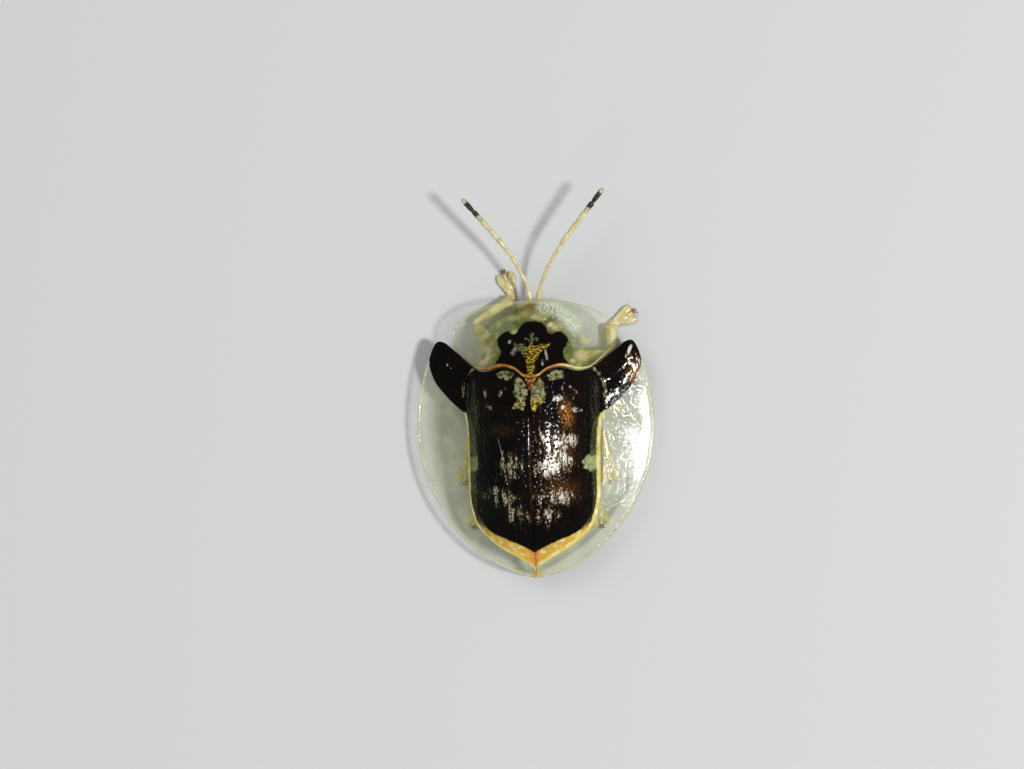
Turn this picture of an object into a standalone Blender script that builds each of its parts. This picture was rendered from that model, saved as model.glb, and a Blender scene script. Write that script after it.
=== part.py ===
"""A tortoise beetle as a still, life-size model: shield, body, head, legs and feelers.

The head faces -Y, the back faces +Z and the feet stand on the plane z = 0.
The beetle's own left side is +X. Lengths below are in millimetres until MM turns them into metres.
"""
import math

import bmesh
import bpy
import numpy as np

MM = 0.001

# Driving dimensions of the shield, the dome of wing cases and pronotum seen from above
BODY_LENGTH = 5.78
TAIL_Y = 4.01
HEAD_END_Y = TAIL_Y - BODY_LENGTH
SHIELD_HALF_WIDTH = 2.475
SHIELD_CENTRE_Y = 0.83
PRONOTUM_HALF_WIDTH = 1.74
PRONOTUM_WIDEST_Y = -0.98
PRONOTUM_POWER = 2.2
EDGE_POWER = 2.1
TAIL_POWER = 0.6
ARM_START_ANGLE = math.radians(-25.0)

# The convex disc inside the flat clear margin
FOOT_HALF_WIDTH = 1.42
FOOT_REAR_REACH = 2.80
FOOT_FRONT_REACH = 2.20
FOOT_POWER = 2.7
CROWN_POWER = 2.6
FRONT_CROWN_DROP = 0.6
SLOPE_POWER = 1.15

# Heights above the floor
DOME_TOP = 2.22
FOOT_HEIGHT = 0.86
FRONT_FOOT_LIFT = 0.08
EDGE_HEIGHT = 0.44
FRONT_EDGE_LIFT = 0.29
BELLY_HEIGHT = 0.46
SHOULDER_BUMP = 0.13
SHOULDER_PLACE = (1.15, -0.02)
SHOULDER_SPREAD = (0.30, 0.32)

# The underside
BELLY_RISE = 0.22
BELLY_POWER = 2.5
BODY_INSET = 0.90
PROTHORAX_BACK_Y = -0.20
PROTHORAX_HALF_WIDTH = 0.92
ABDOMEN_START_Y = 1.36
ABDOMEN_TAPER_Y = 2.40
ABDOMEN_END_Y = 3.46
ABDOMEN_JOINTS = (0.0, 0.26, 0.42, 0.57, 0.72, 1.0)
PLATE_STEP = 0.03
PLATE_COVER = 0.93
COXA_X = 0.40
COXA_HEIGHT = 0.36
COXA_RADII = (0.17, 0.15, 0.17)
FRONT_COXA_Y = -0.52
MIDDLE_COXA_Y = 0.42
HIND_COXA_Y = 1.08

# Thicknesses, and the gap that touching pieces keep
SHELL = 0.15
SHELL_AT_EDGE = 0.10
GAP = 0.04
WELD = 0.0005

# Legs and feelers
FEMUR_THICK = 0.36
TIBIA_THICK = 0.24
FOOT_WIDE = 0.41
FOOT_THICK = 0.13
CLAW_LENGTH = 0.12
CLAW_SPREAD = 0.32
FEELER_THICK = 0.11
FIRST_CLUB_JOINT = 6
LIMB_HEIGHT = 0.25
KNEE_RISE = 0.01
KNEE_BOW = 0.05

# Head and mouth
HEAD_CENTRE = (0.0, -1.40, 0.50)
HEAD_RADII = (0.41, 0.31, 0.29)
HEAD_BACK_Y = -1.17
HEAD_SIDE_X = 0.33
HEAD_CUT = 0.04
HEAD_BELOW = 0.25
EYE_RADII = (0.13, 0.20, 0.19)
FAR = 9.0

BLACK = (0.015, 0.012, 0.010)
CLEAR = (0.86, 0.84, 0.66)
AMBER = (0.72, 0.50, 0.16)
DARK_BROWN = (0.09, 0.05, 0.03)
EYE_BLACK = (0.02, 0.015, 0.012)
SHARP_ANGLE = math.radians(40)


def start_empty():
    """Take away whatever the file opened with."""
    for thing in list(bpy.data.objects):
        bpy.data.objects.remove(thing, do_unlink=True)


def material(name, colour, roughness, alpha=1.0):
    """A plain finish for one kind of surface."""
    finish = bpy.data.materials.new(name)
    finish.use_nodes = True
    shader = finish.node_tree.nodes["Principled BSDF"]
    shader.inputs["Base Color"].default_value = (*colour, 1.0)
    shader.inputs["Roughness"].default_value = roughness
    shader.inputs["Metallic"].default_value = 0.0
    shader.inputs["Alpha"].default_value = alpha
    return finish


def front_share(dx, dy):
    """0 at the sides and behind, rising to 1 straight ahead of the shield's centre."""
    reach = math.hypot(dx, dy)
    if reach == 0 or dy >= 0:
        return 0.0
    return (dy / reach) ** 2


def oval_reach(dx, dy, half_width, half_length, power):
    """How far an oval reaches from its centre in the direction dx, dy."""
    reach = math.hypot(dx, dy)
    across = abs(dx) / reach / half_width
    along = abs(dy) / reach / half_length
    return (across**power + along**power) ** (-1 / power)


def shoulder_bump(x, y):
    """The swelling at each front corner of the wing cases."""
    across = (abs(x) - SHOULDER_PLACE[0]) / SHOULDER_SPREAD[0]
    along = (y - SHOULDER_PLACE[1]) / SHOULDER_SPREAD[1]
    return SHOULDER_BUMP * math.exp(-(across**2) - along**2)


def shield_height(x, y):
    """Height of the shield's upper face over the plan point x, y."""
    dx = x
    dy = y - SHIELD_CENTRE_Y
    distance = math.hypot(dx, dy)
    if distance < 1e-6:
        return DOME_TOP
    ahead = front_share(dx, dy)
    foot_length = FOOT_REAR_REACH if dy >= 0 else FOOT_FRONT_REACH
    foot = oval_reach(dx, dy, FOOT_HALF_WIDTH, foot_length, FOOT_POWER)
    foot_height = FOOT_HEIGHT + FRONT_FOOT_LIFT * ahead
    if distance < foot:
        crown = CROWN_POWER - FRONT_CROWN_DROP * ahead
        rise = (1 - (distance / foot) ** crown) ** SLOPE_POWER
        return foot_height + (DOME_TOP - foot_height) * rise + shoulder_bump(x, y)
    edge_length = TAIL_Y - SHIELD_CENTRE_Y if dy >= 0 else SHIELD_CENTRE_Y - HEAD_END_Y
    edge = oval_reach(dx, dy, SHIELD_HALF_WIDTH, edge_length, EDGE_POWER)
    edge_height = EDGE_HEIGHT + FRONT_EDGE_LIFT * ahead
    out = min(1.0, (distance - foot) / (edge - foot))
    slope = (1 - out) ** SLOPE_POWER
    return edge_height + (foot_height - edge_height) * slope + shoulder_bump(x, y)


def shield_point(x, y, depth):
    """The point that lies depth below the shield's upper face, square to it."""
    step = 0.02
    slope_x = (shield_height(x + step, y) - shield_height(x - step, y)) / (2 * step)
    slope_y = (shield_height(x, y + step) - shield_height(x, y - step)) / (2 * step)
    length = math.sqrt(slope_x**2 + slope_y**2 + 1)
    across = x + depth * slope_x / length
    along = y + depth * slope_y / length
    return across, along, shield_height(x, y) - depth / length


def smooth_path(points, count):
    """A smooth curve through the points, read at even steps along its length."""
    fixed = [np.array(p, dtype=float) for p in points]
    fixed = [2 * fixed[0] - fixed[1]] + fixed + [2 * fixed[-1] - fixed[-2]]
    fine = []
    for k in range(1, len(fixed) - 2):
        before, here, there, after = fixed[k - 1 : k + 3]
        for t in np.linspace(0, 1, 12, endpoint=False):
            turn = (
                2 * here
                + (there - before) * t
                + (2 * before - 5 * here + 4 * there - after) * t**2
                + (3 * here - before - 3 * there + after) * t**3
            )
            fine.append(turn / 2)
    fine.append(fixed[-2])
    fine = np.array(fine)
    steps = np.linalg.norm(np.diff(fine, axis=0), axis=1)
    run = np.concatenate([[0], np.cumsum(steps)])
    wanted = np.linspace(0, run[-1], count)
    return np.array([np.interp(wanted, run, fine[:, k]) for k in range(fine.shape[1])]).T


def add_object(name, corners, faces, finish):
    """Make a closed mesh of corners in millimetres into an object, its faces turned outwards."""
    mesh = bpy.data.meshes.new(name)
    mesh.from_pydata([tuple(MM * value for value in c) for c in corners], [], faces)
    grown = bmesh.new()
    grown.from_mesh(mesh)
    bmesh.ops.recalc_face_normals(grown, faces=grown.faces)
    grown.to_mesh(mesh)
    grown.free()
    mesh.materials.append(finish)
    mesh.shade_smooth()
    mesh.set_sharp_from_angle(angle=SHARP_ANGLE)
    thing = bpy.data.objects.new(name, mesh)
    bpy.context.scene.collection.objects.link(thing)
    return thing


def split_square(corners, a, b, c, d):
    """Two triangles from a square of corner numbers, cut along its shorter diagonal."""
    if math.dist(corners[a], corners[c]) <= math.dist(corners[b], corners[d]):
        return [(a, b, c), (a, c, d)]
    return [(a, b, d), (b, c, d)]


def plate(name, inner, outer, rings, finish, side=1, edge_thin=False):
    """A curved plate on the shield between two plan paths with the same number of points."""
    ribs = len(inner)
    corners = []
    for layer in (0, 1):
        for start, end in zip(inner, outer):
            for k in range(rings + 1):
                share = k / rings
                x, y = start + (end - start) * share
                thick = SHELL
                if edge_thin:
                    thick = SHELL + (SHELL_AT_EDGE - SHELL) * share
                px, py, pz = shield_point(x, y, layer * thick)
                corners.append((side * px, py, pz))
    across = rings + 1
    under = ribs * across
    faces = []
    for i in range(ribs - 1):
        for k in range(rings):
            a = i * across + k
            b = a + 1
            c = a + across + 1
            d = a + across
            halves = split_square(corners, a, b, c, d)
            faces += halves
            faces += [tuple(under + corner for corner in reversed(half)) for half in halves]
    rim = [k for k in range(across)]
    rim += [i * across + rings for i in range(1, ribs)]
    rim += [(ribs - 1) * across + k for k in range(rings - 1, -1, -1)]
    rim += [i * across for i in range(ribs - 2, 0, -1)]
    for k, here in enumerate(rim):
        there = rim[(k + 1) % len(rim)]
        faces.append((here, there, under + there))
        faces.append((here, under + there, under + here))
    return add_object(name, corners, faces, finish)


def loft(name, rings, finish):
    """A closed body through rings of points, with flat ends."""
    sides = len(rings[0])
    corners = [tuple(point) for ring in rings for point in ring]
    faces = []
    for i in range(len(rings) - 1):
        for k in range(sides):
            a = i * sides + k
            b = i * sides + (k + 1) % sides
            faces.append((a, b, b + sides))
            faces.append((a, b + sides, a + sides))
    for i in (0, len(rings) - 1):
        centre = len(corners)
        ring = np.array(rings[i])
        corners.append(tuple(ring.mean(axis=0)))
        for k in range(sides):
            faces.append((i * sides + k, i * sides + (k + 1) % sides, centre))
    return add_object(name, corners, faces, finish)


def tube_rings(path, widths, heights, sides, floor=None):
    """Oval rings square to a path, lying level across it; floor flattens what would go below it."""
    path = np.array(path, dtype=float)
    rings = []
    for i, centre in enumerate(path):
        ahead = path[min(i + 1, len(path) - 1)] - path[max(i - 1, 0)]
        ahead = ahead / np.linalg.norm(ahead)
        level = np.cross(ahead, (0, 0, 1))
        level = level / np.linalg.norm(level)
        up = np.cross(level, ahead)
        ring = []
        for k in range(sides):
            turn = 2 * math.pi * (k + 0.5) / sides
            point = centre + level * math.cos(turn) * widths[i] / 2
            point = point + up * math.sin(turn) * heights[i] / 2
            if floor is not None:
                point[2] = max(point[2], floor)
            ring.append(point)
        rings.append(ring)
    return rings


def limb(name, route, thick_at, finish, count=9, sides=10, flat=1.0, floor=None):
    """A limb along a route, its thickness read from a list of (share of length, thickness)."""
    path = smooth_path(route, count)
    shares = np.linspace(0, 1, count)
    table = np.array(thick_at, dtype=float)
    widths = np.interp(shares, table[:, 0], table[:, 1])
    return loft(name, tube_rings(path, widths, widths * flat, sides, floor), finish)


def tail_half_width(y):
    """Half the shield's width behind its centre, drawn to a slight point at the tail."""
    share = (y - SHIELD_CENTRE_Y) / (TAIL_Y - SHIELD_CENTRE_Y)
    return SHIELD_HALF_WIDTH * max(0.0, 1 - share**2) ** TAIL_POWER


# Plan outlines of the left half, from the middle line outwards and back
PRONOTUM_REAR = [(0.0, -0.17), (0.16, -0.20), (0.34, -0.33), (0.62, -0.40), (0.95, -0.33)]
PRONOTUM_CORNER = [(1.02, -0.33), (1.16, -0.36), (1.28, -0.44)]
PRONOTUM_DISC = [(1.02, -0.39), (1.08, -0.65), (0.98, -1.0), (0.70, -1.28), (0.35, -1.42), (0.0, -1.46)]
ELYTRON_BASE = [(0.17, -0.14), (0.34, -0.28), (0.62, -0.355), (0.95, -0.285), (1.16, -0.31)]
ARM_FRONT = [(1.27, -0.37), (1.58, -0.64), (1.88, -0.89)]
ARM_TIP = [(1.88, -0.89), (2.03, -0.92), (2.12, -0.76), (2.17, -0.55)]
ARM_REAR = [(2.17, -0.55), (2.16, -0.36), (2.08, -0.10), (1.92, 0.12), (1.69, 0.36), (1.44, 0.58)]
SUTURE_FRONT_Y = 0.14
SUTURE_MIDDLE_YS = [0.55, 1.20, 1.60]
SUTURE_REAR_Y = 3.90
DISC_SIDE = [(1.44, 0.58), (1.38, 1.00), (1.37, 1.70), (1.35, 2.40), (1.23, 2.86)]
DISC_TAIL = [
    (1.23, 2.86), (1.03, 3.10), (0.72, 3.36),
    (0.36, 3.59), (0.12, 3.80), (GAP / 2, SUTURE_REAR_Y),
]
SCUTELLUM_FRONT = [(-0.12, -0.13), (0, -0.13), (0.12, -0.13)]
SCUTELLUM_BACK = [(-0.03, 0.07), (0, 0.09), (0.03, 0.07)]
MARGIN_CORNER = (1.70, -0.84)


def mirrored(half):
    """A path over the whole width, from a half path that ends or starts on the middle line."""
    half = np.array(half)
    if abs(half[-1][0]) > abs(half[0][0]):
        half = half[::-1]
    other = half[:-1] * (-1, 1)
    return np.vstack([half, other[::-1]])


def set_off(path, distance):
    """The path moved sideways to the left of its own direction, in plan."""
    ahead = np.gradient(path, axis=0)
    ahead /= np.linalg.norm(ahead, axis=1)[:, None]
    return path + distance * np.column_stack([ahead[:, 1], -ahead[:, 0]])


def elytron_paths():
    """The suture and the outline of one wing case's disc with its shoulder arm."""
    base = smooth_path([(GAP / 2, SUTURE_FRONT_Y)] + ELYTRON_BASE + [ARM_FRONT[0]], 11)
    front = smooth_path(ARM_FRONT, 5)[1:]
    tip = smooth_path(ARM_TIP, 5)[1:]
    rear = smooth_path(ARM_REAR, 8)[1:]
    side = smooth_path(DISC_SIDE, 13)[1:]
    tail = smooth_path(DISC_TAIL, 9)[1:]
    outline = np.vstack([base, front, tip, rear, side, tail])
    count = len(outline)
    share = np.arange(count) / (count - 1)
    corner = (len(base) - 1) / (count - 1)
    arm_end = (len(base) + len(front) + len(tip) + len(rear) - 1) / (count - 1)
    knots = [0, corner * 0.5, corner, arm_end, 1.0]
    along = np.interp(share, knots, [SUTURE_FRONT_Y] + SUTURE_MIDDLE_YS + [SUTURE_REAR_Y])
    return np.column_stack([np.full(count, GAP / 2), along]), outline


def margin_paths():
    """The inner and outer edges of one wing case's clear margin."""
    rear = smooth_path(ARM_REAR, 8)
    side = smooth_path(DISC_SIDE, 13)[1:]
    tail = smooth_path(DISC_TAIL, 9)[1:]
    inner = set_off(np.vstack([rear, side, tail]), GAP)
    inner[:, 0] = np.maximum(inner[:, 0], GAP / 2)
    outer = []
    for turn in np.linspace(ARM_START_ANGLE, math.pi / 2, len(inner)):
        y = SHIELD_CENTRE_Y + math.sin(turn) * (TAIL_Y - SHIELD_CENTRE_Y)
        half = SHIELD_HALF_WIDTH * math.cos(turn) if turn < 0 else tail_half_width(y)
        outer.append((max(half, GAP / 2), y))
    return inner, np.array(outer)


def pronotum_front(turn):
    """A point on the pronotum's outline, turn 0 at its widest and 90 degrees straight ahead."""
    reach = PRONOTUM_WIDEST_Y - HEAD_END_Y
    across = abs(math.cos(turn)) ** (2 / PRONOTUM_POWER)
    along = abs(math.sin(turn)) ** (2 / PRONOTUM_POWER)
    return PRONOTUM_HALF_WIDTH * across, PRONOTUM_WIDEST_Y - reach * along


def pronotum_paths():
    """Rear edge and front edge of the pronotum's disc, then inner and outer edge of its margin."""
    rear = mirrored(smooth_path(PRONOTUM_REAR + PRONOTUM_CORNER[:1], 10))
    disc_half = smooth_path(PRONOTUM_DISC, 10)
    disc = mirrored(disc_half)
    inner_half = np.vstack([PRONOTUM_CORNER[:0:-1], set_off(disc_half, -GAP)])
    inner_half[-1][0] = 0.0
    outline = [MARGIN_CORNER]
    count = len(inner_half) - 1
    for turn in np.linspace(0, math.pi / 2, count):
        outline.append(pronotum_front(turn))
    return rear, disc, mirrored(inner_half), mirrored(np.array(outline))


def ovoid(name, centre, radii, finish, around=16, rows=10, low=None, high=None):
    """A closed egg about a centre, flattened where it would pass the low or high limits."""
    corners = []
    for i in range(1, rows):
        tilt = math.pi * i / rows
        for k in range(around):
            turn = 2 * math.pi * k / around
            across = math.sin(tilt) * math.cos(turn)
            along = math.sin(tilt) * math.sin(turn)
            corners.append((across, along, math.cos(tilt)))
    corners.append((0, 0, 1))
    corners.append((0, 0, -1))
    corners = np.array(centre) + np.array(corners) * np.array(radii)
    if low is not None:
        corners = np.maximum(corners, low)
    if high is not None:
        corners = np.minimum(corners, high)
    faces = []
    for i in range(rows - 2):
        for k in range(around):
            a = i * around + k
            b = i * around + (k + 1) % around
            faces.append((a, b, b + around))
            faces.append((a, b + around, a + around))
    top = len(corners) - 2
    last = (rows - 2) * around
    for k in range(around):
        faces.append((k, (k + 1) % around, top))
        faces.append((last + k, last + (k + 1) % around, top + 1))
    return add_object(name, corners, faces, finish)


def fuse(name, pieces, finish):
    """Join closed pieces into one closed body with one union, and keep its largest surface."""
    group = bpy.data.collections.new(f"{name}_pieces")
    bpy.context.scene.collection.children.link(group)
    whole = pieces[0]
    for piece in pieces[1:]:
        bpy.context.scene.collection.objects.unlink(piece)
        group.objects.link(piece)
    union = whole.modifiers.new("union", "BOOLEAN")
    union.operation = "UNION"
    union.operand_type = "COLLECTION"
    union.collection = group
    union.solver = "EXACT"
    drawn = whole.evaluated_get(bpy.context.evaluated_depsgraph_get())
    mesh = bpy.data.meshes.new_from_object(drawn)
    whole.modifiers.clear()
    for piece in pieces:
        bpy.data.objects.remove(piece, do_unlink=True)
    bpy.data.collections.remove(group)
    grown = bmesh.new()
    grown.from_mesh(mesh)
    bmesh.ops.triangulate(grown, faces=grown.faces)
    bmesh.ops.remove_doubles(grown, verts=grown.verts, dist=WELD * MM)
    bmesh.ops.dissolve_degenerate(grown, edges=grown.edges, dist=WELD * MM)
    keep_largest(grown)
    grown.to_mesh(mesh)
    grown.free()
    mesh.materials.clear()
    mesh.materials.append(finish)
    mesh.shade_smooth()
    mesh.set_sharp_from_angle(angle=SHARP_ANGLE)
    mesh.name = name
    fused = bpy.data.objects.new(name, mesh)
    bpy.context.scene.collection.objects.link(fused)
    return fused


def keep_largest(grown):
    """Delete every surface but the one that holds the most corners."""
    left = set(grown.verts)
    surfaces = []
    while left:
        start = left.pop()
        surface = {start}
        edge_of = [start]
        while edge_of:
            for edge in edge_of.pop().link_edges:
                for corner in edge.verts:
                    if corner in left:
                        left.discard(corner)
                        surface.add(corner)
                        edge_of.append(corner)
        surfaces.append(surface)
    surfaces.sort(key=len)
    for surface in surfaces[:-1]:
        bmesh.ops.delete(grown, geom=list(surface), context="VERTS")


def body_half_width(y):
    """Half the width of the underside, a little inside the foot of the dome."""
    if y < PROTHORAX_BACK_Y:
        share = (y - PROTHORAX_BACK_Y) / (PROTHORAX_BACK_Y - HEAD_BACK_Y + HEAD_BELOW)
        return PROTHORAX_HALF_WIDTH * math.sqrt(1 - share**2)
    dy = y - SHIELD_CENTRE_Y
    reach = FOOT_REAR_REACH if dy >= 0 else FOOT_FRONT_REACH
    share = min(0.98, abs(dy) / reach)
    half = BODY_INSET * FOOT_HALF_WIDTH * (1 - share**FOOT_POWER) ** (1 / FOOT_POWER)
    if y > ABDOMEN_TAPER_Y:
        narrowed = (y - ABDOMEN_TAPER_Y) / (ABDOMEN_END_Y + 0.03 - ABDOMEN_TAPER_Y)
        half *= math.sqrt(1 - narrowed**2)
    return half


def body_ring(y, lift):
    """One cross-section of the underside, its belly raised by lift."""
    half = body_half_width(y)
    ring = []
    for share in np.linspace(-1, 1, 9):
        ring.append(shield_point(share * half, y, SHELL + GAP))
    for share in np.linspace(0.94, -0.94, 9):
        belly = BELLY_HEIGHT + lift + BELLY_RISE * abs(share) ** BELLY_POWER
        ring.append((share * half, y, belly))
    return ring


def body_part(name, start, end, count, finish):
    """A length of the underside, shaped to the shield above it."""
    return loft(name, [body_ring(y, 0.0) for y in np.linspace(start, end, count)], finish)


def coxae(word, y, finish):
    """The two hip bulbs of one pair of legs."""
    bulbs = []
    for side in (1, -1):
        centre = (side * COXA_X, y, COXA_HEIGHT)
        bulbs.append(ovoid(f"coxa_{word}_{side}", centre, COXA_RADII, finish, 12, 8))
    return bulbs


def abdomen(finish):
    """The belly of five visible plates, each stepping up a little to the next."""
    rings = []
    edges = [ABDOMEN_START_Y + share * (ABDOMEN_END_Y - ABDOMEN_START_Y) for share in ABDOMEN_JOINTS]
    for k in range(len(edges) - 1):
        start = edges[k]
        end = edges[k + 1]
        plates = 3 if k < len(edges) - 2 else 7
        for i in range(plates):
            share = i / (plates - 1)
            y = start + (end - start) * share * (1.0 if k == len(edges) - 2 else PLATE_COVER)
            rings.append(body_ring(y, PLATE_STEP * share))
    return loft("abdomen", rings, finish)


# Thickness along each joint of a leg, as shares of its length and of its full thickness
THIGH_PROFILE = [(0, 0.35), (0.06, 0.66), (0.2, 0.9), (0.5, 1.0), (0.8, 0.8), (0.95, 0.6), (1, 0.4)]
SHIN_PROFILE = [(0, 0.45), (0.06, 0.62), (0.25, 0.78), (0.6, 0.92), (0.92, 1.08), (1, 0.9)]
FOOT_LOBES = [
    (0, 0.36), (0.14, 0.58), (0.22, 0.42), (0.40, 0.76),
    (0.47, 0.52), (0.72, 1.0), (0.88, 0.86), (1, 0.5),
]
FOOT_RISE = [(0, 0.8), (0.1, 1.0), (0.75, 0.9), (1, 0.5)]

# Each leg's hip, knee and ankle, and its toe in plan, on the beetle's left side
FRONT_RIGHT = ((0.60, -0.52), (1.50, -0.62), (1.57, -1.24), (2.03, -1.50))
FRONT_LEFT = ((0.60, -0.56), (1.26, -1.26), (0.49, -1.78), (0.66, -2.34))
MIDDLE = ((0.60, 0.44), (1.34, 0.92), (1.45, 1.50), (1.52, 2.00))
HIND = ((0.60, 1.14), (1.10, 1.98), (1.22, 2.44), (1.33, 2.92))
LEGS = {
    "front_left": (1, FRONT_LEFT),
    "front_right": (-1, FRONT_RIGHT),
    "middle_left": (1, MIDDLE),
    "middle_right": (-1, MIDDLE),
    "hind_left": (1, HIND),
    "hind_right": (-1, HIND),
}


def towards(start, end, distance):
    """The point at a distance from start on the way to end."""
    start = np.array(start, dtype=float)
    way = np.array(end, dtype=float) - start
    return start + way * distance / np.linalg.norm(way)


def next_start(end, way, goal, half_thick):
    """Where the next joint starts, so that it clears the last one's end face by the gap."""
    onward = goal - end
    turned = np.linalg.norm(np.cross(way, onward)) / np.linalg.norm(onward)
    return end + way * (GAP + half_thick * turned)


def claw(name, root, way, finish):
    """One curved claw, from inside the last joint of a foot to its point."""
    tip = root + way * CLAW_LENGTH
    tip[2] = 0.02
    middle = (root + tip) / 2 + np.array((0, 0, 0.015))
    path = smooth_path([root, middle, tip], 4)
    widths = np.array([0.055, 0.05, 0.035, 0.012])
    return loft(name, tube_rings(path, widths, widths, 6, 0.004), finish)


def foot(word, ankle, shin_way, toe, finish):
    """The lobed pads of one foot with their flat soles, and its two claws."""
    shares = np.linspace(0, 1, 14)
    lobes = np.array(FOOT_LOBES)
    rise = np.array(FOOT_RISE)
    widths = FOOT_WIDE * np.interp(shares, lobes[:, 0], lobes[:, 1])
    heights = FOOT_THICK * np.interp(shares, rise[:, 0], rise[:, 1])
    heel = next_start(ankle, shin_way, np.array((*toe[:2], ankle[2])), widths[0] / 2)
    heel[2] = FOOT_THICK * 0.45
    toe = np.array((*toe[:2], FOOT_THICK * 0.40))
    path = smooth_path([heel, (heel + toe) / 2, toe], len(shares))
    pad = loft(f"pad_{word}", tube_rings(path, widths, heights, 12, 0.0), finish)
    ahead = (toe - heel) / np.linalg.norm(toe - heel)
    pieces = [pad]
    for turn in (CLAW_SPREAD, -CLAW_SPREAD):
        way = np.array(
            (
                ahead[0] * math.cos(turn) - ahead[1] * math.sin(turn),
                ahead[0] * math.sin(turn) + ahead[1] * math.cos(turn),
                0,
            )
        )
        root = toe - ahead * 0.05
        pieces.append(claw(f"claw_{word}_{turn}", root, way, finish))
    fuse(f"leg_{word}_tarsus", pieces, finish)


def leg(word, finish):
    """Femur, tibia and tarsus of one leg, each ending a gap short of the next."""
    side, (hip, knee, ankle, toe) = LEGS[word]
    flip = np.array((side, 1, 1))
    hip = np.array((*hip, LIMB_HEIGHT)) * flip
    knee = np.array((*knee, LIMB_HEIGHT + KNEE_RISE)) * flip
    ankle = np.array((*ankle, FOOT_THICK + 0.02)) * flip
    toe = np.array((*toe, 0)) * flip
    outwards = np.array((side * KNEE_BOW, 0, 0))
    thigh = [(share, FEMUR_THICK * thick) for share, thick in THIGH_PROFILE]
    knee_end = towards(knee, hip, GAP / 2)
    limb(f"leg_{word}_femur", [hip, (hip + knee) / 2 + outwards, knee_end], thigh, finish, 13, 10, 0.9)
    shin = [(share, TIBIA_THICK * thick) for share, thick in SHIN_PROFILE]
    thigh_way = knee - (hip + knee) / 2 - outwards
    thigh_way /= np.linalg.norm(thigh_way)
    shin_start = next_start(knee_end, thigh_way, ankle, shin[0][1] / 2)
    limb(f"leg_{word}_tibia", [shin_start, (shin_start + ankle) / 2, ankle], shin, finish, 11, 10, 0.85)
    shin_way = (ankle - shin_start) / np.linalg.norm(ankle - shin_start)
    foot(word, ankle, shin_way, toe, finish)


# Each feeler's route from its socket, on the beetle's left side
FEELERS = {
    "left": (
        (0.07, -1.725, 0.50), (0.11, -1.94, 0.53), (0.18, -2.17, 0.62), (0.29, -2.39, 0.72),
        (0.45, -2.68, 0.83), (0.64, -2.94, 0.91), (0.90, -3.25, 0.98), (1.43, -3.85, 1.06),
    ),
    "right": (
        (0.07, -1.725, 0.50), (0.11, -1.94, 0.53), (0.18, -2.16, 0.62), (0.28, -2.39, 0.72),
        (0.41, -2.61, 0.82), (0.55, -2.83, 0.90), (0.74, -3.10, 0.97), (1.15, -3.62, 1.05),
        (1.48, -4.04, 1.10),
    ),
}
FEELER_JOINTS = (0.26, 0.15, 0.22, 0.22, 0.22, 0.21, 0.25, 0.26, 0.25, 0.24, 0.34)


def feeler(side, word, finish):
    """One antenna of eleven joints, thicker along its club."""
    route = [(side * x, y, z) for x, y, z in FEELERS[word]]
    fine = smooth_path(route, 200)
    total = sum(FEELER_JOINTS)
    shares = []
    widths = []
    start = 0.0
    for k, length in enumerate(FEELER_JOINTS):
        thick = FEELER_THICK * (1.0 if k == 0 else 0.74 if k < FIRST_CLUB_JOINT else 0.96)
        for along, swell in ((0.0, 0.66), (0.18, 0.92), (0.82, 1.05)):
            shares.append((start + along * length) / total)
            widths.append(thick * swell)
        start += length
    shares.append(1.0)
    widths.append(FEELER_THICK * 0.3)
    steps = np.linspace(0, 1, len(fine))
    path = np.column_stack([np.interp(shares, steps, fine[:, k]) for k in range(3)])
    loft(f"antenna_{word}", tube_rings(path, widths, widths, 8), finish)


def mouth(finish):
    """Upper lip, two jaws and two short palps below the head, as one piece."""
    x, y, z = HEAD_CENTRE
    roof = z - HEAD_RADII[2] + HEAD_CUT - GAP
    high = (FAR, FAR, roof)
    pieces = [ovoid("lip", (x, y - 0.06, roof - 0.03), (0.17, 0.13, 0.09), finish, 14, 8, None, high)]
    for side in (1, -1):
        jaw = (x + side * 0.09, y - 0.10, roof - 0.06)
        pieces.append(ovoid(f"jaw_{side}", jaw, (0.075, 0.075, 0.085), finish, 12, 8, None, high))
        route = [
            np.array((x + side * 0.10, y - 0.04, roof - 0.07)),
            np.array((x + side * 0.19, y - 0.12, roof - 0.10)),
            np.array((x + side * 0.17, y - 0.24, roof - 0.12)),
        ]
        path = smooth_path(route, 8)
        widths = np.array([0.06, 0.07, 0.06, 0.075, 0.06, 0.07, 0.06, 0.03])
        pieces.append(loft(f"palp_{side}", tube_rings(path, widths, widths, 8), finish))
    fuse("mouthparts", pieces, finish)


def head_and_eyes(shell, eye):
    """The head capsule with a flat back and sides, and an eye against each side."""
    x, y, z = HEAD_CENTRE
    low = (-HEAD_SIDE_X, -FAR, z - HEAD_RADII[2] + HEAD_CUT)
    high = (HEAD_SIDE_X, HEAD_BACK_Y, FAR)
    ovoid("head", HEAD_CENTRE, HEAD_RADII, shell, 24, 16, low, high)
    for side, word in ((1, "left"), (-1, "right")):
        inner = HEAD_SIDE_X + GAP
        low = (inner, -FAR, -FAR) if side > 0 else None
        high = None if side > 0 else (-inner, FAR, FAR)
        ovoid(f"eye_{word}", (side * inner, y - 0.01, z + 0.02), EYE_RADII, eye, 20, 14, low, high)


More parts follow.
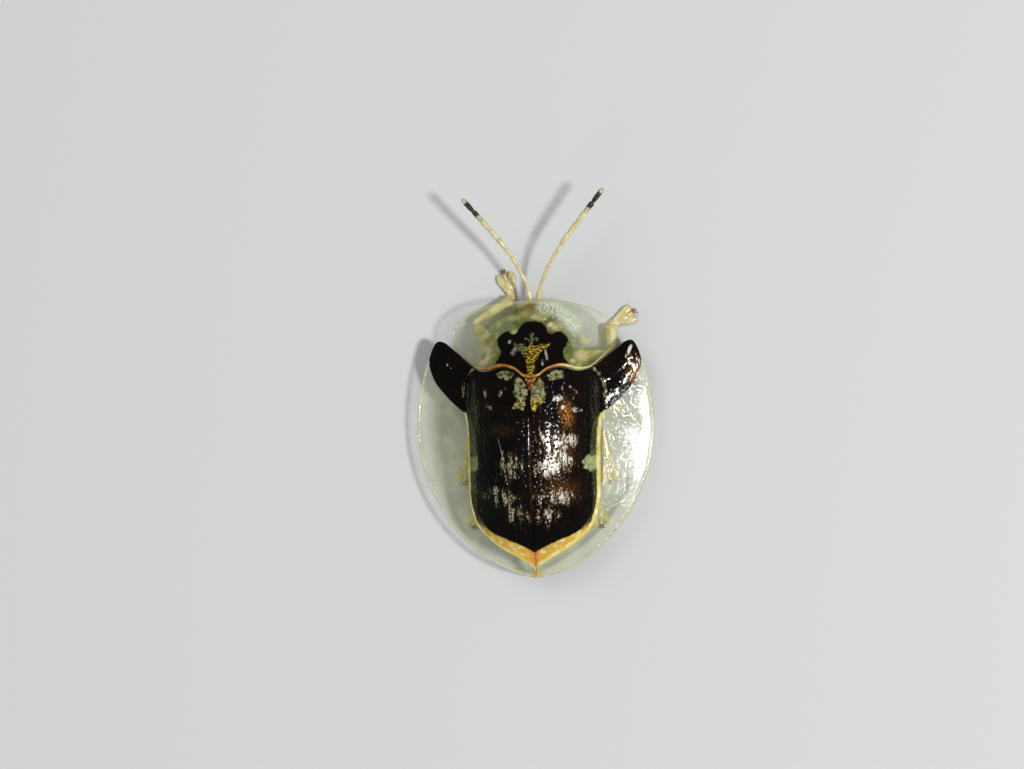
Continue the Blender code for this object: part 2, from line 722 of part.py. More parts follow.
def build():
    """Every piece of the beetle."""
    start_empty()
    black = material("elytra_black", BLACK, 0.15)
    clear = material("margin_clear", CLEAR, 0.12, 0.45)
    amber = material("limb_amber", AMBER, 0.4)
    brown = material("body_brown", DARK_BROWN, 0.35)
    eye = material("eye_black", EYE_BLACK, 0.2)
    suture, outline = elytron_paths()
    inner, outer = margin_paths()
    for side, word in ((1, "left"), (-1, "right")):
        plate(f"elytron_{word}", suture, outline, 11, black, side)
        plate(f"elytron_margin_{word}", inner, outer, 5, clear, side, True)
        feeler(side, word, amber)
    rear, disc, margin_in, margin_out = pronotum_paths()
    plate("pronotum", rear, disc, 8, black)
    plate("pronotum_margin", margin_in, margin_out, 4, clear, 1, True)
    plate("scutellum", np.array(SCUTELLUM_FRONT), np.array(SCUTELLUM_BACK), 2, black)
    head_and_eyes(brown, eye)
    mouth(amber)
    chest = body_part("chest", HEAD_BACK_Y + GAP, PROTHORAX_BACK_Y - GAP / 2, 7, brown)
    fuse("prothorax", [chest] + coxae("front", FRONT_COXA_Y, brown), brown)
    trunk = body_part("trunk", PROTHORAX_BACK_Y + GAP / 2, ABDOMEN_START_Y - GAP, 8, brown)
    bulbs = coxae("middle", MIDDLE_COXA_Y, brown) + coxae("hind", HIND_COXA_Y, brown)
    fuse("thorax", [trunk] + bulbs, brown)
    abdomen(brown)
    for word in LEGS:
        leg(word, amber)


build()
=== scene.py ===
"""The looks of the tortoise beetle: shell, clear brim, legs, feelers and head around its solids.

Shapes are worked out in millimetres in the solids' own frame, and turned into metres as each mesh is made.
The head faces -Y, the beetle's left side is +X and the feet stand on z = 0.
"""

import math

import bmesh
import bpy
import numpy as np
from mathutils import Matrix, Vector


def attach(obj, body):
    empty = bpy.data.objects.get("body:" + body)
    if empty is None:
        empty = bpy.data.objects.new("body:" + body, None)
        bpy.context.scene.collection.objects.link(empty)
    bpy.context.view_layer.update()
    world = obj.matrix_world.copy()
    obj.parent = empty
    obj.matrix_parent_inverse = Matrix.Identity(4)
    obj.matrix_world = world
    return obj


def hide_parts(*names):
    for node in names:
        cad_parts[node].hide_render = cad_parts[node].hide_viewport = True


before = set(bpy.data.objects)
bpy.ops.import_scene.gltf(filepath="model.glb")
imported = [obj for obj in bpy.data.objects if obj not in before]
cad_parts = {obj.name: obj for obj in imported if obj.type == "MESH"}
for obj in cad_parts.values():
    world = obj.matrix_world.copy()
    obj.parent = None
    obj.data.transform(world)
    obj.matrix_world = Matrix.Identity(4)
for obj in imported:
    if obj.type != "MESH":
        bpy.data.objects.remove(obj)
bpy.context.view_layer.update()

MM = 0.001
TO_MM = 1000.0

# The shield, in millimetres, as the solids have it
TAIL_Y = 4.01
HEAD_END_Y = -1.77
SHIELD_HALF_WIDTH = 2.475
SHIELD_CENTRE_Y = 0.83
PRONOTUM_HALF_WIDTH = 1.74
PRONOTUM_WIDEST_Y = -0.98
PRONOTUM_POWER = 2.2
FOOT_HALF_WIDTH = 1.42
FOOT_REAR_REACH = 2.80
FOOT_FRONT_REACH = 2.20
FOOT_POWER = 2.7
CROWN_POWER = 2.6
EDGE_POWER = 2.1
DOME_TOP = 2.22
FOOT_HEIGHT = 0.86
FRONT_FOOT_LIFT = 0.08
EDGE_HEIGHT = 0.44
FRONT_EDGE_LIFT = 0.29
SHOULDER_BUMP = 0.13
CREASE_SOFTNESS = 0.05

# Thicknesses of the plates, and how near corners must be to be welded
CASE_THICK = 0.10
BRIM_THICK = 0.05
BEAD_THICK = 0.075
BEAD_MIDDLE = 0.038
BEAD_WIDTH = 0.030
BEAD_TINT_WIDTH = 0.055
DISC_EXTRA_THICK = 0.03
SCUTELLUM_THICK = 0.09
SCUTELLUM_FRONT_Y = -0.155
SCUTELLUM_LONG = 0.26
SCUTELLUM_HALF_WIDTH = 0.115
SEAM = 0.006
WELD = 2e-4

# Pits of the wing cases: their steps across and along the rows, radius and depth
PIT_ACROSS = 0.112
PIT_ALONG = 0.090
PIT_RADIUS = 0.024
PIT_DEPTH = 0.019

# Points along a wing case's base and shoulder line
BASE_STEPS = 110
SHOULDER_STEPS = 60

# Plan outlines of the left half, from the middle line outwards and back
ELYTRON_BASE = [(SEAM, 0.12), (0.17, -0.155), (0.34, -0.295), (0.62, -0.37), (0.95, -0.30), (1.16, -0.325),
                (1.27, -0.385)]
SHOULDER_LINE = [(1.27, -0.385), (1.37, -0.22), (1.45, 0.0), (1.47, 0.30), (1.44, 0.58)]
ARM_FRONT = [(1.27, -0.385), (1.58, -0.65), (1.88, -0.90)]
ARM_TIP = [(1.88, -0.90), (2.03, -0.92), (2.14, -0.76), (2.21, -0.55)]
ARM_REAR = [(2.21, -0.55), (2.20, -0.36), (2.10, -0.10), (1.93, 0.12), (1.70, 0.36), (1.44, 0.58)]
ARM_RIDGE = [(1.56, -0.16), (2.04, -0.72)]
ARM_SWELL = 0.07
DISC_SIDE = [(1.44, 0.58), (1.38, 1.00), (1.37, 1.70), (1.35, 2.40), (1.23, 2.86)]
DISC_TAIL = [(1.23, 2.86), (1.03, 3.10), (0.72, 3.35), (0.36, 3.56), (0.12, 3.72), (SEAM, 3.84)]
PRONOTUM_REAR = [(0.0, -0.15), (0.16, -0.185), (0.34, -0.32), (0.62, -0.39), (0.95, -0.32), (1.16, -0.35),
                 (1.28, -0.43)]
PRONOTUM_CORNER = (1.70, -0.84)

# Outlines of the markings of the left half
BLACK_TIP_Y = 3.46
BLACK_EDGE = [(1.47, 0.52), (1.30, 0.66), (1.23, 0.85), (1.18, 1.30), (1.20, 1.70), (1.22, 2.31),
              (1.14, 2.72), (0.92, 3.01), (0.51, 3.20), (0.25, 3.32), (0.0, BLACK_TIP_Y)]
SHOULDER_STREAK = [(1.25, -0.34), (1.37, -0.22), (1.46, 0.0), (1.47, 0.22)]
PRONOTUM_DISC = [(1.02, -0.39), (1.08, -0.65), (0.98, -1.0), (0.70, -1.28), (0.35, -1.42), (0.0, -1.46)]
PRONOTUM_MARK = [(0.0, -1.33), (0.17, -1.30), (0.28, -1.19), (0.33, -1.08), (0.42, -1.06), (0.50, -1.11),
                 (0.62, -1.08), (0.73, -0.95), (0.70, -0.80), (0.645, -0.72), (0.67, -0.58), (0.75, -0.44),
                 (0.70, -0.30), (0.0, -0.10)]
GOLD_WEDGE = [(0.0, -0.84), (0.08, -0.80), (0.20, -0.84), (0.38, -0.86), (0.35, -0.80), (0.19, -0.66),
              (0.11, -0.52), (0.075, -0.34), (0.05, -0.16), (0.0, -0.14)]
WEDGE_STEM = [(0.0, -1.06), (0.0, -0.82)]
WEDGE_CROSS = [(0.0, -0.93), (0.11, -0.955)]

# Marks that differ from side to side, on the plan of the whole beetle
SCRATCHES = [[(0.66, 1.10), (0.57, 1.46), (0.49, 2.02)], [(0.46, 2.27), (0.46, 2.72)]]
# Painted glare: a whitish streaky band along the right of the pronotum's clear front, on the key lamp's side
PAINTED_GLARE_LINE = [(-0.20, -1.62), (-0.46, -1.57), (-0.70, -1.42), (-0.86, -1.20)]
OLIVE_PATCHES = [
    [(0.31, -0.15), (0.24, -0.18), (0.06, 0.01), (0.04, 0.12), (0.13, 0.50), (0.35, 0.46), (0.26, 0.30),
     (0.34, 0.16)],
    [(-0.02, 0.02), (-0.07, -0.10), (-0.21, -0.17), (-0.27, -0.04), (-0.31, 0.20), (-0.28, 0.36),
     (-0.08, 0.54), (-0.02, 0.40)],
    [(0.34, -0.25), (0.56, -0.33), (0.70, -0.24), (0.66, -0.15), (0.46, -0.11), (0.36, -0.17)],
    [(-0.34, -0.20), (-0.50, -0.31), (-0.68, -0.28), (-0.66, -0.17), (-0.50, -0.10), (-0.38, -0.12)],
]

# Oval spots: centre, radii, turn and strength
FLECK_FADE = 0.17
GOLD_SPOTS_AND_PAINTED_GLINTS = [
    ((-0.46, 1.60), (0.46, 0.40), 0.25, 1.07),
    ((-0.70, 1.16), (0.28, 0.28), 0.0, 1.04),
    ((-0.26, 1.06), (0.20, 0.24), 0.0, 0.99),
    ((0.40, 1.68), (0.38, 0.44), 0.0, 1.01),
    ((0.62, 2.28), (0.50, 0.26), -0.25, 1.015),
    ((0.32, 2.62), (0.36, 0.34), 0.0, 1.00),
    ((-0.14, 2.30), (0.14, 0.34), 0.0, 0.97),
    ((-0.52, 2.28), (0.48, 0.28), 0.0, 1.01),
    ((-0.34, 2.66), (0.40, 0.30), 0.35, 0.995),
    ((0.94, 0.16), (0.06, 0.14), 0.1, 1.06),
    ((0.62, 0.18), (0.06, 0.14), -0.5, 1.04),
    ((0.86, 0.46), (0.11, 0.08), 0.0, 1.02),
    ((-0.56, 0.28), (0.12, 0.08), 0.2, 1.10),
    ((-0.88, 0.16), (0.05, 0.15), -0.1, 1.08),
    ((-0.66, 0.04), (0.05, 0.09), 0.0, 1.06),
    ((-0.94, 0.52), (0.09, 0.09), 0.0, 1.07),
    ((-0.66, 0.46), (0.08, 0.07), 0.0, 1.06),
    ((-2.00, -0.44), (0.14, 0.05), -0.3, 1.06),
    ((-2.12, -0.12), (0.05, 0.16), 0.0, 1.05),
    # painted highlights: a white streak at the right arm's tip and small white glints on the left arm
    ((-1.96, -0.70), (0.045, 0.19), -0.48, 1.12),
    ((1.83, -0.43), (0.035, 0.045), 0.0, 1.10),
    ((1.74, -0.36), (0.020, 0.040), 0.0, 1.08),
    ((2.00, -0.78), (0.018, 0.018), 0.0, 1.10),
    ((1.99, -0.14), (0.016, 0.016), 0.0, 1.10),
    ((-0.26, 0.12), (0.03, 0.05), 0.0, 1.08),
    ((-0.84, 0.02), (0.04, 0.05), 0.0, 1.04),
]
AMBER_SPOTS = [
    ((-0.74, 0.60), (0.10, 0.22), 0.15, 1.0),
    ((-0.62, 1.30), (0.26, 0.40), 0.1, 0.16),
    ((0.90, 0.42), (0.07, 0.08), 0.0, 0.10),
    ((0.62, 0.92), (0.24, 0.12), 0.0, 0.06),
    ((-0.62, 2.16), (0.30, 0.20), 0.0, 0.20),
    ((-2.09, -0.20), (0.12, 0.24), 0.1, 1.0),
]
CREAM_SPOTS_AND_GLINT = [
    ((-0.36, -1.25), (0.07, 0.05), 0.6, 0.9),
    ((-0.24, -1.37), (0.05, 0.03), 0.3, 0.7),
    ((-0.46, -1.19), (0.05, 0.04), 0.9, 0.6),
    ((0.96, -0.74), (0.10, 0.09), 0.0, 0.6),
    ((1.02, -0.48), (0.12, 0.07), 0.2, 0.6),
    ((-0.98, -0.62), (0.10, 0.14), 0.2, 0.6),
    # a painted glint among the cream specks
    ((-1.10, -0.90), (0.09, 0.07), 0.5, 0.5),
    ((-0.84, -0.50), (0.06, 0.05), 0.0, 0.7),
]
# Painted glints on the pronotum's black mark: small pale spots standing for highlights
PAINTED_GLINT_SPOTS = [
    ((0.46, -0.90), (0.035, 0.03), 0.5, 0.7),
    ((0.36, -0.70), (0.04, 0.08), -0.5, 0.45),
    ((-0.31, -0.62), (0.020, 0.10), 0.25, 0.8),
    ((-0.24, -0.46), (0.022, 0.05), 0.1, 0.7),
]


def oval_reach(dx, dy, reach, half_width, half_length, power):
    """How far an oval reaches from its centre in the direction dx, dy."""
    across = np.abs(dx) / reach / half_width
    along = np.abs(dy) / reach / half_length
    return (across**power + along**power) ** (-1 / power)


def shield_height(x, y):
    """Height of the shield's upper face over the plan points x, y."""
    dy = y - SHIELD_CENTRE_Y
    reach = np.hypot(x, dy) + 1e-9
    behind = dy >= 0
    ahead = np.where(dy < 0, (dy / reach) ** 2, 0.0)
    foot_length = np.where(behind, FOOT_REAR_REACH, FOOT_FRONT_REACH)
    foot = oval_reach(x, dy, reach, FOOT_HALF_WIDTH, foot_length, FOOT_POWER)
    foot_height = FOOT_HEIGHT + FRONT_FOOT_LIFT * ahead
    share = np.minimum(reach / foot, 1.0)
    rise = (1 - share ** (CROWN_POWER - 0.6 * ahead)) ** 1.15
    dome = foot_height + (DOME_TOP - foot_height) * rise
    edge_length = np.where(behind, TAIL_Y - SHIELD_CENTRE_Y, SHIELD_CENTRE_Y - HEAD_END_Y)
    edge = oval_reach(x, dy, reach, SHIELD_HALF_WIDTH, edge_length, EDGE_POWER)
    edge_height = EDGE_HEIGHT + FRONT_EDGE_LIFT * ahead
    out = np.clip((reach - foot) / (edge - foot), 0, 1)
    brim = edge_height + (foot_height - edge_height) * (1 - out) ** 1.15
    bump = SHOULDER_BUMP * np.exp(-(((np.abs(x) - 1.15) / 0.30) ** 2) - ((y + 0.02) / 0.32) ** 2)
    return np.where(reach < foot, dome, brim) + bump


def soft_height(x, y):
    """The shield's height with the crease at the foot of the dome rounded off."""
    total = 2 * shield_height(x, y)
    for k in range(8):
        dx = CREASE_SOFTNESS * math.cos(math.pi * k / 4)
        dy = CREASE_SOFTNESS * math.sin(math.pi * k / 4)
        total = total + shield_height(x + dx, y + dy)
    return total / 10


def shield_surface(x, y, lift):
    """Points that stand lift above the shield's face, square to it, from plan points."""
    step = 0.01
    height = soft_height(x, y)
    slope_x = (soft_height(x + step, y) - height) / step
    slope_y = (soft_height(x, y + step) - height) / step
    length = np.sqrt(slope_x**2 + slope_y**2 + 1)
    return np.stack([x - lift * slope_x / length, y - lift * slope_y / length, height + lift / length], -1)


def smooth_path(points, count):
    """A smooth curve through the points, read at even steps along its length."""
    fixed = [np.array(p, dtype=float) for p in points]
    fixed = [2 * fixed[0] - fixed[1]] + fixed + [2 * fixed[-1] - fixed[-2]]
    fine = []
    for k in range(1, len(fixed) - 2):
        before, here, there, after = fixed[k - 1 : k + 3]
        for t in np.linspace(0, 1, 24, endpoint=False):
            once = (there - before) * t
            twice = (2 * before - 5 * here + 4 * there - after) * t**2
            fine.append((2 * here + once + twice + (3 * here - before - 3 * there + after) * t**3) / 2)
    fine.append(fixed[-2])
    fine = np.array(fine)
    run = np.concatenate([[0], np.cumsum(np.linalg.norm(np.diff(fine, axis=0), axis=1))])
    wanted = np.linspace(0, run[-1], count)
    return np.array([np.interp(wanted, run, fine[:, k]) for k in range(fine.shape[1])]).T


def joined_paths(stretches):
    """One line of plan points from outlines that follow on, each with its count of points."""
    first, *others = [smooth_path(points, count) for points, count in stretches]
    return np.vstack([first] + [path[1:] for path in others])


def line_distance(x, y, path):
    """Distance from plan points to a line of straight stretches."""
    nearest = np.full(np.shape(x), 1e9)
    for (ax, ay), (bx, by) in zip(path[:-1], path[1:]):
        length = (bx - ax) ** 2 + (by - ay) ** 2 + 1e-12
        share = np.clip(((x - ax) * (bx - ax) + (y - ay) * (by - ay)) / length, 0, 1)
        nearest = np.minimum(nearest, np.hypot(x - ax - share * (bx - ax), y - ay - share * (by - ay)))
    return nearest


def outline_reach(x, y, path):
    """Distance from plan points to a closed outline, below 0 within it."""
    path = np.asarray(path)
    held = np.zeros(np.shape(x), bool)
    for (ax, ay), (bx, by) in zip(path, np.roll(path, -1, axis=0)):
        held ^= ((ay > y) != (by > y)) & (x < ax + (y - ay) * (bx - ax) / (by - ay + 1e-12))
    distance = line_distance(x, y, np.vstack([path, path[:1]]))
    return np.where(held, -distance, distance)


def bell(x, y, centre, radii):
    """A soft round hill, 1 at its middle."""
    return np.exp(-(((x - centre[0]) / radii[0]) ** 2) - ((y - centre[1]) / radii[1]) ** 2)


def ridge(distance, width, power=2):
    """1 on a line and falling away on both sides of it."""
    return np.exp(-((distance / width) ** power))


def ramp(value, start, length):
    """0 up to start, then rising to 1 over length."""
    return np.clip((value - start) / length, 0, 1)


def spot_places(x, y, table):
    """How far plan points lie from each spot's middle, in its own radii, with its strength."""
    for centre, radii, turn, strength in table:
        dx = x - centre[0]
        dy = y - centre[1]
        across = (dx * math.cos(turn) + dy * math.sin(turn)) / radii[0]
        along = (dy * math.cos(turn) - dx * math.sin(turn)) / radii[1]
        yield across, along, strength


def spots(x, y, table, power=2):
    """The strongest of several soft spots; a higher power gives them firmer edges."""
    total = np.zeros(np.shape(x))
    for across, along, strength in spot_places(x, y, table):
        total = np.maximum(total, strength * np.clip(1.3 * np.exp(-(across**power) - along**power), 0, 1))
    return total


def fading(x, y, table):
    """Like spots, but thinning out slowly from each middle, for patches that break up into flecks."""
    total = np.zeros(np.shape(x))
    sway = 0.05 * ripple(x, y, 61, 0.3)
    for across, along, strength in spot_places(x + sway, y + 0.6 * sway, table):
        total = np.maximum(total, strength - FLECK_FADE * (across**2 + along**2))
    return total


def dice(a, b, salt):
    """A repeatable number from 0 to 1 for each pair of whole numbers."""
    mixed = np.sin(a * 127.1 + b * 311.7 + salt * 74.7) * 43758.5453
    return mixed - np.floor(mixed)


def ripple(x, y, salt, width, count=7):
    """A gentle unevenness between about -1 and 1, its waves about width across."""
    draw = np.random.default_rng(salt)
    total = np.zeros(np.shape(x))
    for _ in range(count):
        turn = draw.uniform(0, math.pi)
        wave = 2 * math.pi / (width * draw.uniform(0.7, 1.6))
        along = x * math.cos(turn) + y * math.sin(turn)
        total = total + np.sin(wave * along + draw.uniform(0, 2 * math.pi))
    return total / count


def pits(x, y, across, along, radius, salt):
    """Round pits in loose rows: 1 at the bottom of a pit and 0 on the plain surface."""
    row = np.round(x / across)
    shift = dice(row, 0.0, salt) * along
    place = np.round((y + shift) / along)
    centre_x = (row + 0.55 * (dice(row, place, salt + 1) - 0.5)) * across
    centre_y = (place + 0.50 * (dice(row, place, salt + 2) - 0.5)) * along - shift
    size = radius * (0.75 + 0.5 * dice(row, place, salt + 3))
    there = dice(row, place, salt + 4) > 0.22
    distance = np.hypot(x - centre_x, y - centre_y)
    return there * np.clip(1 - (distance / size) ** 2, 0, 1) ** 0.8


def edge_drop(distance, radius):
    """How far a rounded edge of that radius has dropped at a distance from the edge."""
    share = np.clip(distance / radius, 0, 1)
    return radius * (1 - np.sqrt(np.maximum(0, 1 - (1 - share) ** 2)))


def half_round(distance, radius=0.04):
    """Share of a plate's thickness left near its half-round edge."""
    return np.sqrt(np.clip(1 - (1 - np.clip(distance / radius, 0, 1)) ** 2, 0, 1))


def bead_swell(distance):
    """How much thicker than the brim a plate is near its edge."""
    return (BEAD_THICK - BRIM_THICK) * ridge(distance - BEAD_MIDDLE, BEAD_WIDTH)


def both_faces(values):
    """A value of a plate's rings, for its upper and its lower corners."""
    return np.concatenate([values.ravel(), values.ravel()])


def grid_faces(rows, columns, start=0):
    """Four-sided faces of a grid of corners numbered row by row."""
    a = np.arange(rows * columns).reshape(rows, columns) + start
    return np.stack([a[:-1, :-1], a[:-1, 1:], a[1:, 1:], a[1:, :-1]], -1).reshape(-1, 4)


def strip_faces(here, there):
    """Four-sided faces between two lines of corner numbers."""
    return np.stack([here[:-1], here[1:], there[1:], there[:-1]], -1)


def closed_plate(top, low):
    """Corners and faces of a plate between two grids of points."""
    rows, columns = top.shape[:2]
    size = rows * columns
    a = np.arange(size).reshape(rows, columns)
    faces = [grid_faces(rows, columns), grid_faces(rows, columns, size)]
    faces += [strip_faces(line, line + size) for line in (a[:, 0], a[:, -1], a[0], a[-1])]
    return np.vstack([top.reshape(-1, 3), low.reshape(-1, 3)]), np.vstack(faces)


def ribs(inner, outer, shares):
    """Plan points along ribs from one line to another, and each rib's length."""
    x = inner[:, :1] * (1 - shares) + outer[:, :1] * shares
    y = inner[:, 1:] * (1 - shares) + outer[:, 1:] * shares
    return x, y, np.linalg.norm(outer - inner, axis=1)[:, None]


def edge_shares(count, length, bead_rings=10, bead_width=0.11):
    """Shares of a rib from 0 to 1, closer together near its outer end."""
    near = bead_width * (1 - np.linspace(0, 1, bead_rings)) ** 1.6 / length
    far = np.linspace(0, 1 - near[0], count - bead_rings + 1)[:-1]
    return np.concatenate([far, 1 - near])[None, :]


def add_piece(name, corners, faces, finishes, nodes, marks=None, weld=None):
    """Make a mesh from corners in millimetres into a piece that stands for its solids."""
    mesh = bpy.data.meshes.new(name)
    mesh.from_pydata(np.asarray(corners).tolist(), [], [tuple(int(k) for k in f) for f in faces])
    for mark, values in (marks or {}).items():
        layer = mesh.attributes.new(mark, "FLOAT", "POINT")
        layer.data.foreach_set("value", np.asarray(values, np.float32))
    grown = bmesh.new()
    grown.from_mesh(mesh)
    if weld:
        bmesh.ops.remove_doubles(grown, verts=grown.verts, dist=weld)
    bmesh.ops.recalc_face_normals(grown, faces=grown.faces)
    bmesh.ops.scale(grown, vec=(MM, MM, MM), verts=grown.verts)
    grown.to_mesh(mesh)
    grown.free()
    for finish in finishes:
        mesh.materials.append(finish)
    mesh.shade_smooth()
    piece = bpy.data.objects.new(name, mesh)
    bpy.context.scene.collection.objects.link(piece)
    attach(piece, "root")
    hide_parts(*nodes)
    return piece


def colour(red, green, blue):
    """A colour with full cover."""
    return (red, green, blue, 1.0)


class Shading:
    """A node tree, with short ways to add to it."""

    def __init__(self, tree):
        self.tree = tree

    def feed(self, socket, value):
        """Link a socket to another, or set it to a plain value."""
        if isinstance(value, bpy.types.NodeSocket):
            self.tree.links.new(value, socket)
        else:
            socket.default_value = value

    def node(self, kind, values=None, **settings):
        """A node with its settings and inputs."""
        made = self.tree.nodes.new(kind)
        for name, value in settings.items():
            setattr(made, name, value)
        for name, value in (values or {}).items():
            self.feed(made.inputs[name], value)
        return made

    def step(self, operation, first, *others, clamp=False):
        """One step of arithmetic after another."""
        for value in others:
            values = {0: first, 1: value}
            first = self.node("ShaderNodeMath", values, operation=operation, use_clamp=clamp).outputs[0]
        return first

    def plus(self, *values):
        """A sum."""
        return self.step("ADD", *values)

    def times(self, *values):
        """A product."""
        return self.step("MULTIPLY", *values)

    def less(self, first, second):
        """A difference."""
        return self.step("SUBTRACT", first, second)

    def blend(self, share, under, over):
        """Two colours mixed by a share."""
        return self.node("ShaderNodeMix", {0: share, 6: under, 7: over}, data_type="RGBA").outputs[2]

    def ease(self, value, low, high):
        """0 where value is at low, easing to 1 where it is at high."""
        values = {"Value": value, "From Min": low, "From Max": high}
        return self.node("ShaderNodeMapRange", values, interpolation_type="SMOOTHSTEP").outputs[0]

    def mark(self, name):
        """A value that is kept on the mesh's corners."""
        return self.node("ShaderNodeAttribute", attribute_name=name).outputs["Fac"]

    def vector(self, operation, first, second):
        """One step of arithmetic with places."""
        return self.node("ShaderNodeVectorMath", {0: first, 1: second}, operation=operation).outputs[0]

    def place(self, stretch=(1, 1, 1)):
        """The place on the piece, in millimetres, stretched along each axis."""
        here = self.node("ShaderNodeTexCoord").outputs["Object"]
        return self.vector("MULTIPLY", here, tuple(TO_MM * s for s in stretch))

    def noise(self, place, scale, detail, roughness=0.5, output="Fac"):
        """Cloudy unevenness."""
        values = {"Vector": place, "Scale": scale, "Detail": detail, "Roughness": roughness}
        return self.node("ShaderNodeTexNoise", values).outputs[output]

    def use(self, group, **values):
        """A shader node group with its own values, an underscore standing for a space."""
        values = {label.replace("_", " "): value for label, value in values.items()}
        return self.node("ShaderNodeGroup", values, node_tree=group).outputs

    def mottled(self, main, patch, per_mm, cover):
        """Two colours in soft patches, and the patches' share."""
        made = self.use(MOTTLE, Main=main, Patch=patch, Patches_per_mm=per_mm, Cover=cover)
        return made["Colour"], made["Patch share"]

    def mottle(self, main, patch, per_mm, cover):
        """Two colours in soft patches."""
        return self.mottled(main, patch, per_mm, cover)[0]

    def ragged(self, reach, uneven, soft):
        """The inside of a marking with an uneven edge, from the distance kept under a name."""
        return self.use(RAGGED, Reach=self.mark(reach), Ragged=uneven, Soft=soft)["Marking"]


class Finish(Shading):
    """A material, and ways to feed its shader."""

    def __init__(self, name, roughness, **plain):
        self.material = bpy.data.materials.new(name)
        self.material.use_nodes = True
        super().__init__(self.material.node_tree)
        self.shader = self.tree.nodes["Principled BSDF"]
        self.give(Roughness=roughness, **plain)

    def give(self, **inputs):
        """Feed the shader's inputs, an underscore standing for a space."""
        for label, value in inputs.items():
            self.feed(self.shader.inputs[label.replace("_", " ")], value)

    def relief(self, height, depth_mm):
        """Relief that is too small for the mesh."""
        values = {"Height": height, "Distance": depth_mm * MM}
        self.give(Normal=self.node("ShaderNodeBump", values).outputs["Normal"])

    def pitting(self, per_mm, width, grain, depth_mm):
        """Relief of tiny pits."""
        fine = self.use(PITTED, Pits_per_mm=per_mm, Pit_width=width, Grain=grain)
        self.relief(fine["Height"], depth_mm)
        return fine


def start_group(name, inputs, outputs):
    """A shader node group with named inputs and outputs."""
    group = bpy.data.node_groups.new(name, "ShaderNodeTree")
    for label, start in inputs.items():
        kind = "NodeSocketColor" if isinstance(start, tuple) else "NodeSocketFloat"
        group.interface.new_socket(name=label, in_out="INPUT", socket_type=kind).default_value = start
    for label in outputs:
        kind = "NodeSocketColor" if label == "Colour" else "NodeSocketFloat"
        group.interface.new_socket(name=label, in_out="OUTPUT", socket_type=kind)
    given = group.nodes.new("NodeGroupInput").outputs
    return group, Shading(group), given, group.nodes.new("NodeGroupOutput").inputs


def pitted_group():
    """Tiny scattered pits and pores of the shell."""
    inputs = {"Pits per mm": 20.0, "Pit width": 0.3, "Grain": 0.3}
    group, tree, given, result = start_group("pitted_shell", inputs, ["Height", "Pit"])
    place = tree.place()
    cells = tree.node("ShaderNodeTexVoronoi", {"Vector": place, "Scale": given["Pits per mm"]}, feature="F1")
    pit = tree.ease(cells.outputs["Distance"], given["Pit width"], 0.02)
    tree.feed(result["Height"], tree.less(tree.times(tree.noise(place, 55.0, 3.0), given["Grain"]), pit))
    tree.feed(result["Pit"], pit)
    return group


def net_group():
    """A fine network of lines, as the cell walls in the clear brim make."""
    inputs = {"Cells per mm": 12.0, "Line width": 0.06}
    group, tree, given, result = start_group("fine_net", inputs, ["Line"])
    place = tree.place((1, 1, 0.2))
    bend = tree.vector("MULTIPLY", tree.noise(place, 6.0, 1.0, output="Color"), (0.12, 0.12, 0.12))
    values = {"Vector": tree.vector("ADD", place, bend), "Scale": given["Cells per mm"]}
    walls = tree.node("ShaderNodeTexVoronoi", values, feature="DISTANCE_TO_EDGE").outputs["Distance"]
    tree.feed(result["Line"], tree.ease(walls, given["Line width"], 0.0))
    return group


def mottle_group():
    """Two colours in soft uneven patches."""
    inputs = {"Main": colour(1, 1, 1), "Patch": colour(0, 0, 0), "Patches per mm": 4.0, "Cover": 0.5}
    group, tree, given, result = start_group("mottle", inputs, ["Colour", "Patch share"])
    cloud = tree.noise(tree.place(), given["Patches per mm"], 4.0, 0.6)
    share = tree.ease(tree.plus(cloud, tree.less(given["Cover"], 0.5)), 0.40, 0.62)
    tree.feed(result["Colour"], tree.blend(share, given["Main"], given["Patch"]))
    tree.feed(result["Patch share"], share)
    return group


def ragged_group():
    """The inside of a marking, from the distance to its outline, with an uneven edge."""
    inputs = {"Reach": 0.0, "Ragged": 0.02, "Soft": 0.01}
    group, tree, given, result = start_group("ragged_marking", inputs, ["Marking"])
    cloud = tree.less(tree.noise(tree.place(), 14.0, 3.0), 0.5)
    moved = tree.plus(given["Reach"], tree.times(cloud, given["Ragged"]))
    tree.feed(result["Marking"], tree.ease(moved, given["Soft"], tree.times(given["Soft"], -1.0)))
    return group


PITTED = pitted_group()
NET = net_group()
MOTTLE = mottle_group()
RAGGED = ragged_group()

# The clear plates' tints and glassy shine
BRIM_GREEN = colour(0.42, 0.47, 0.12)
BRIM_STRAW = colour(0.68, 0.70, 0.32)
CLEAR_IOR = 1.95
CLEAR_GLOSS = 0.9


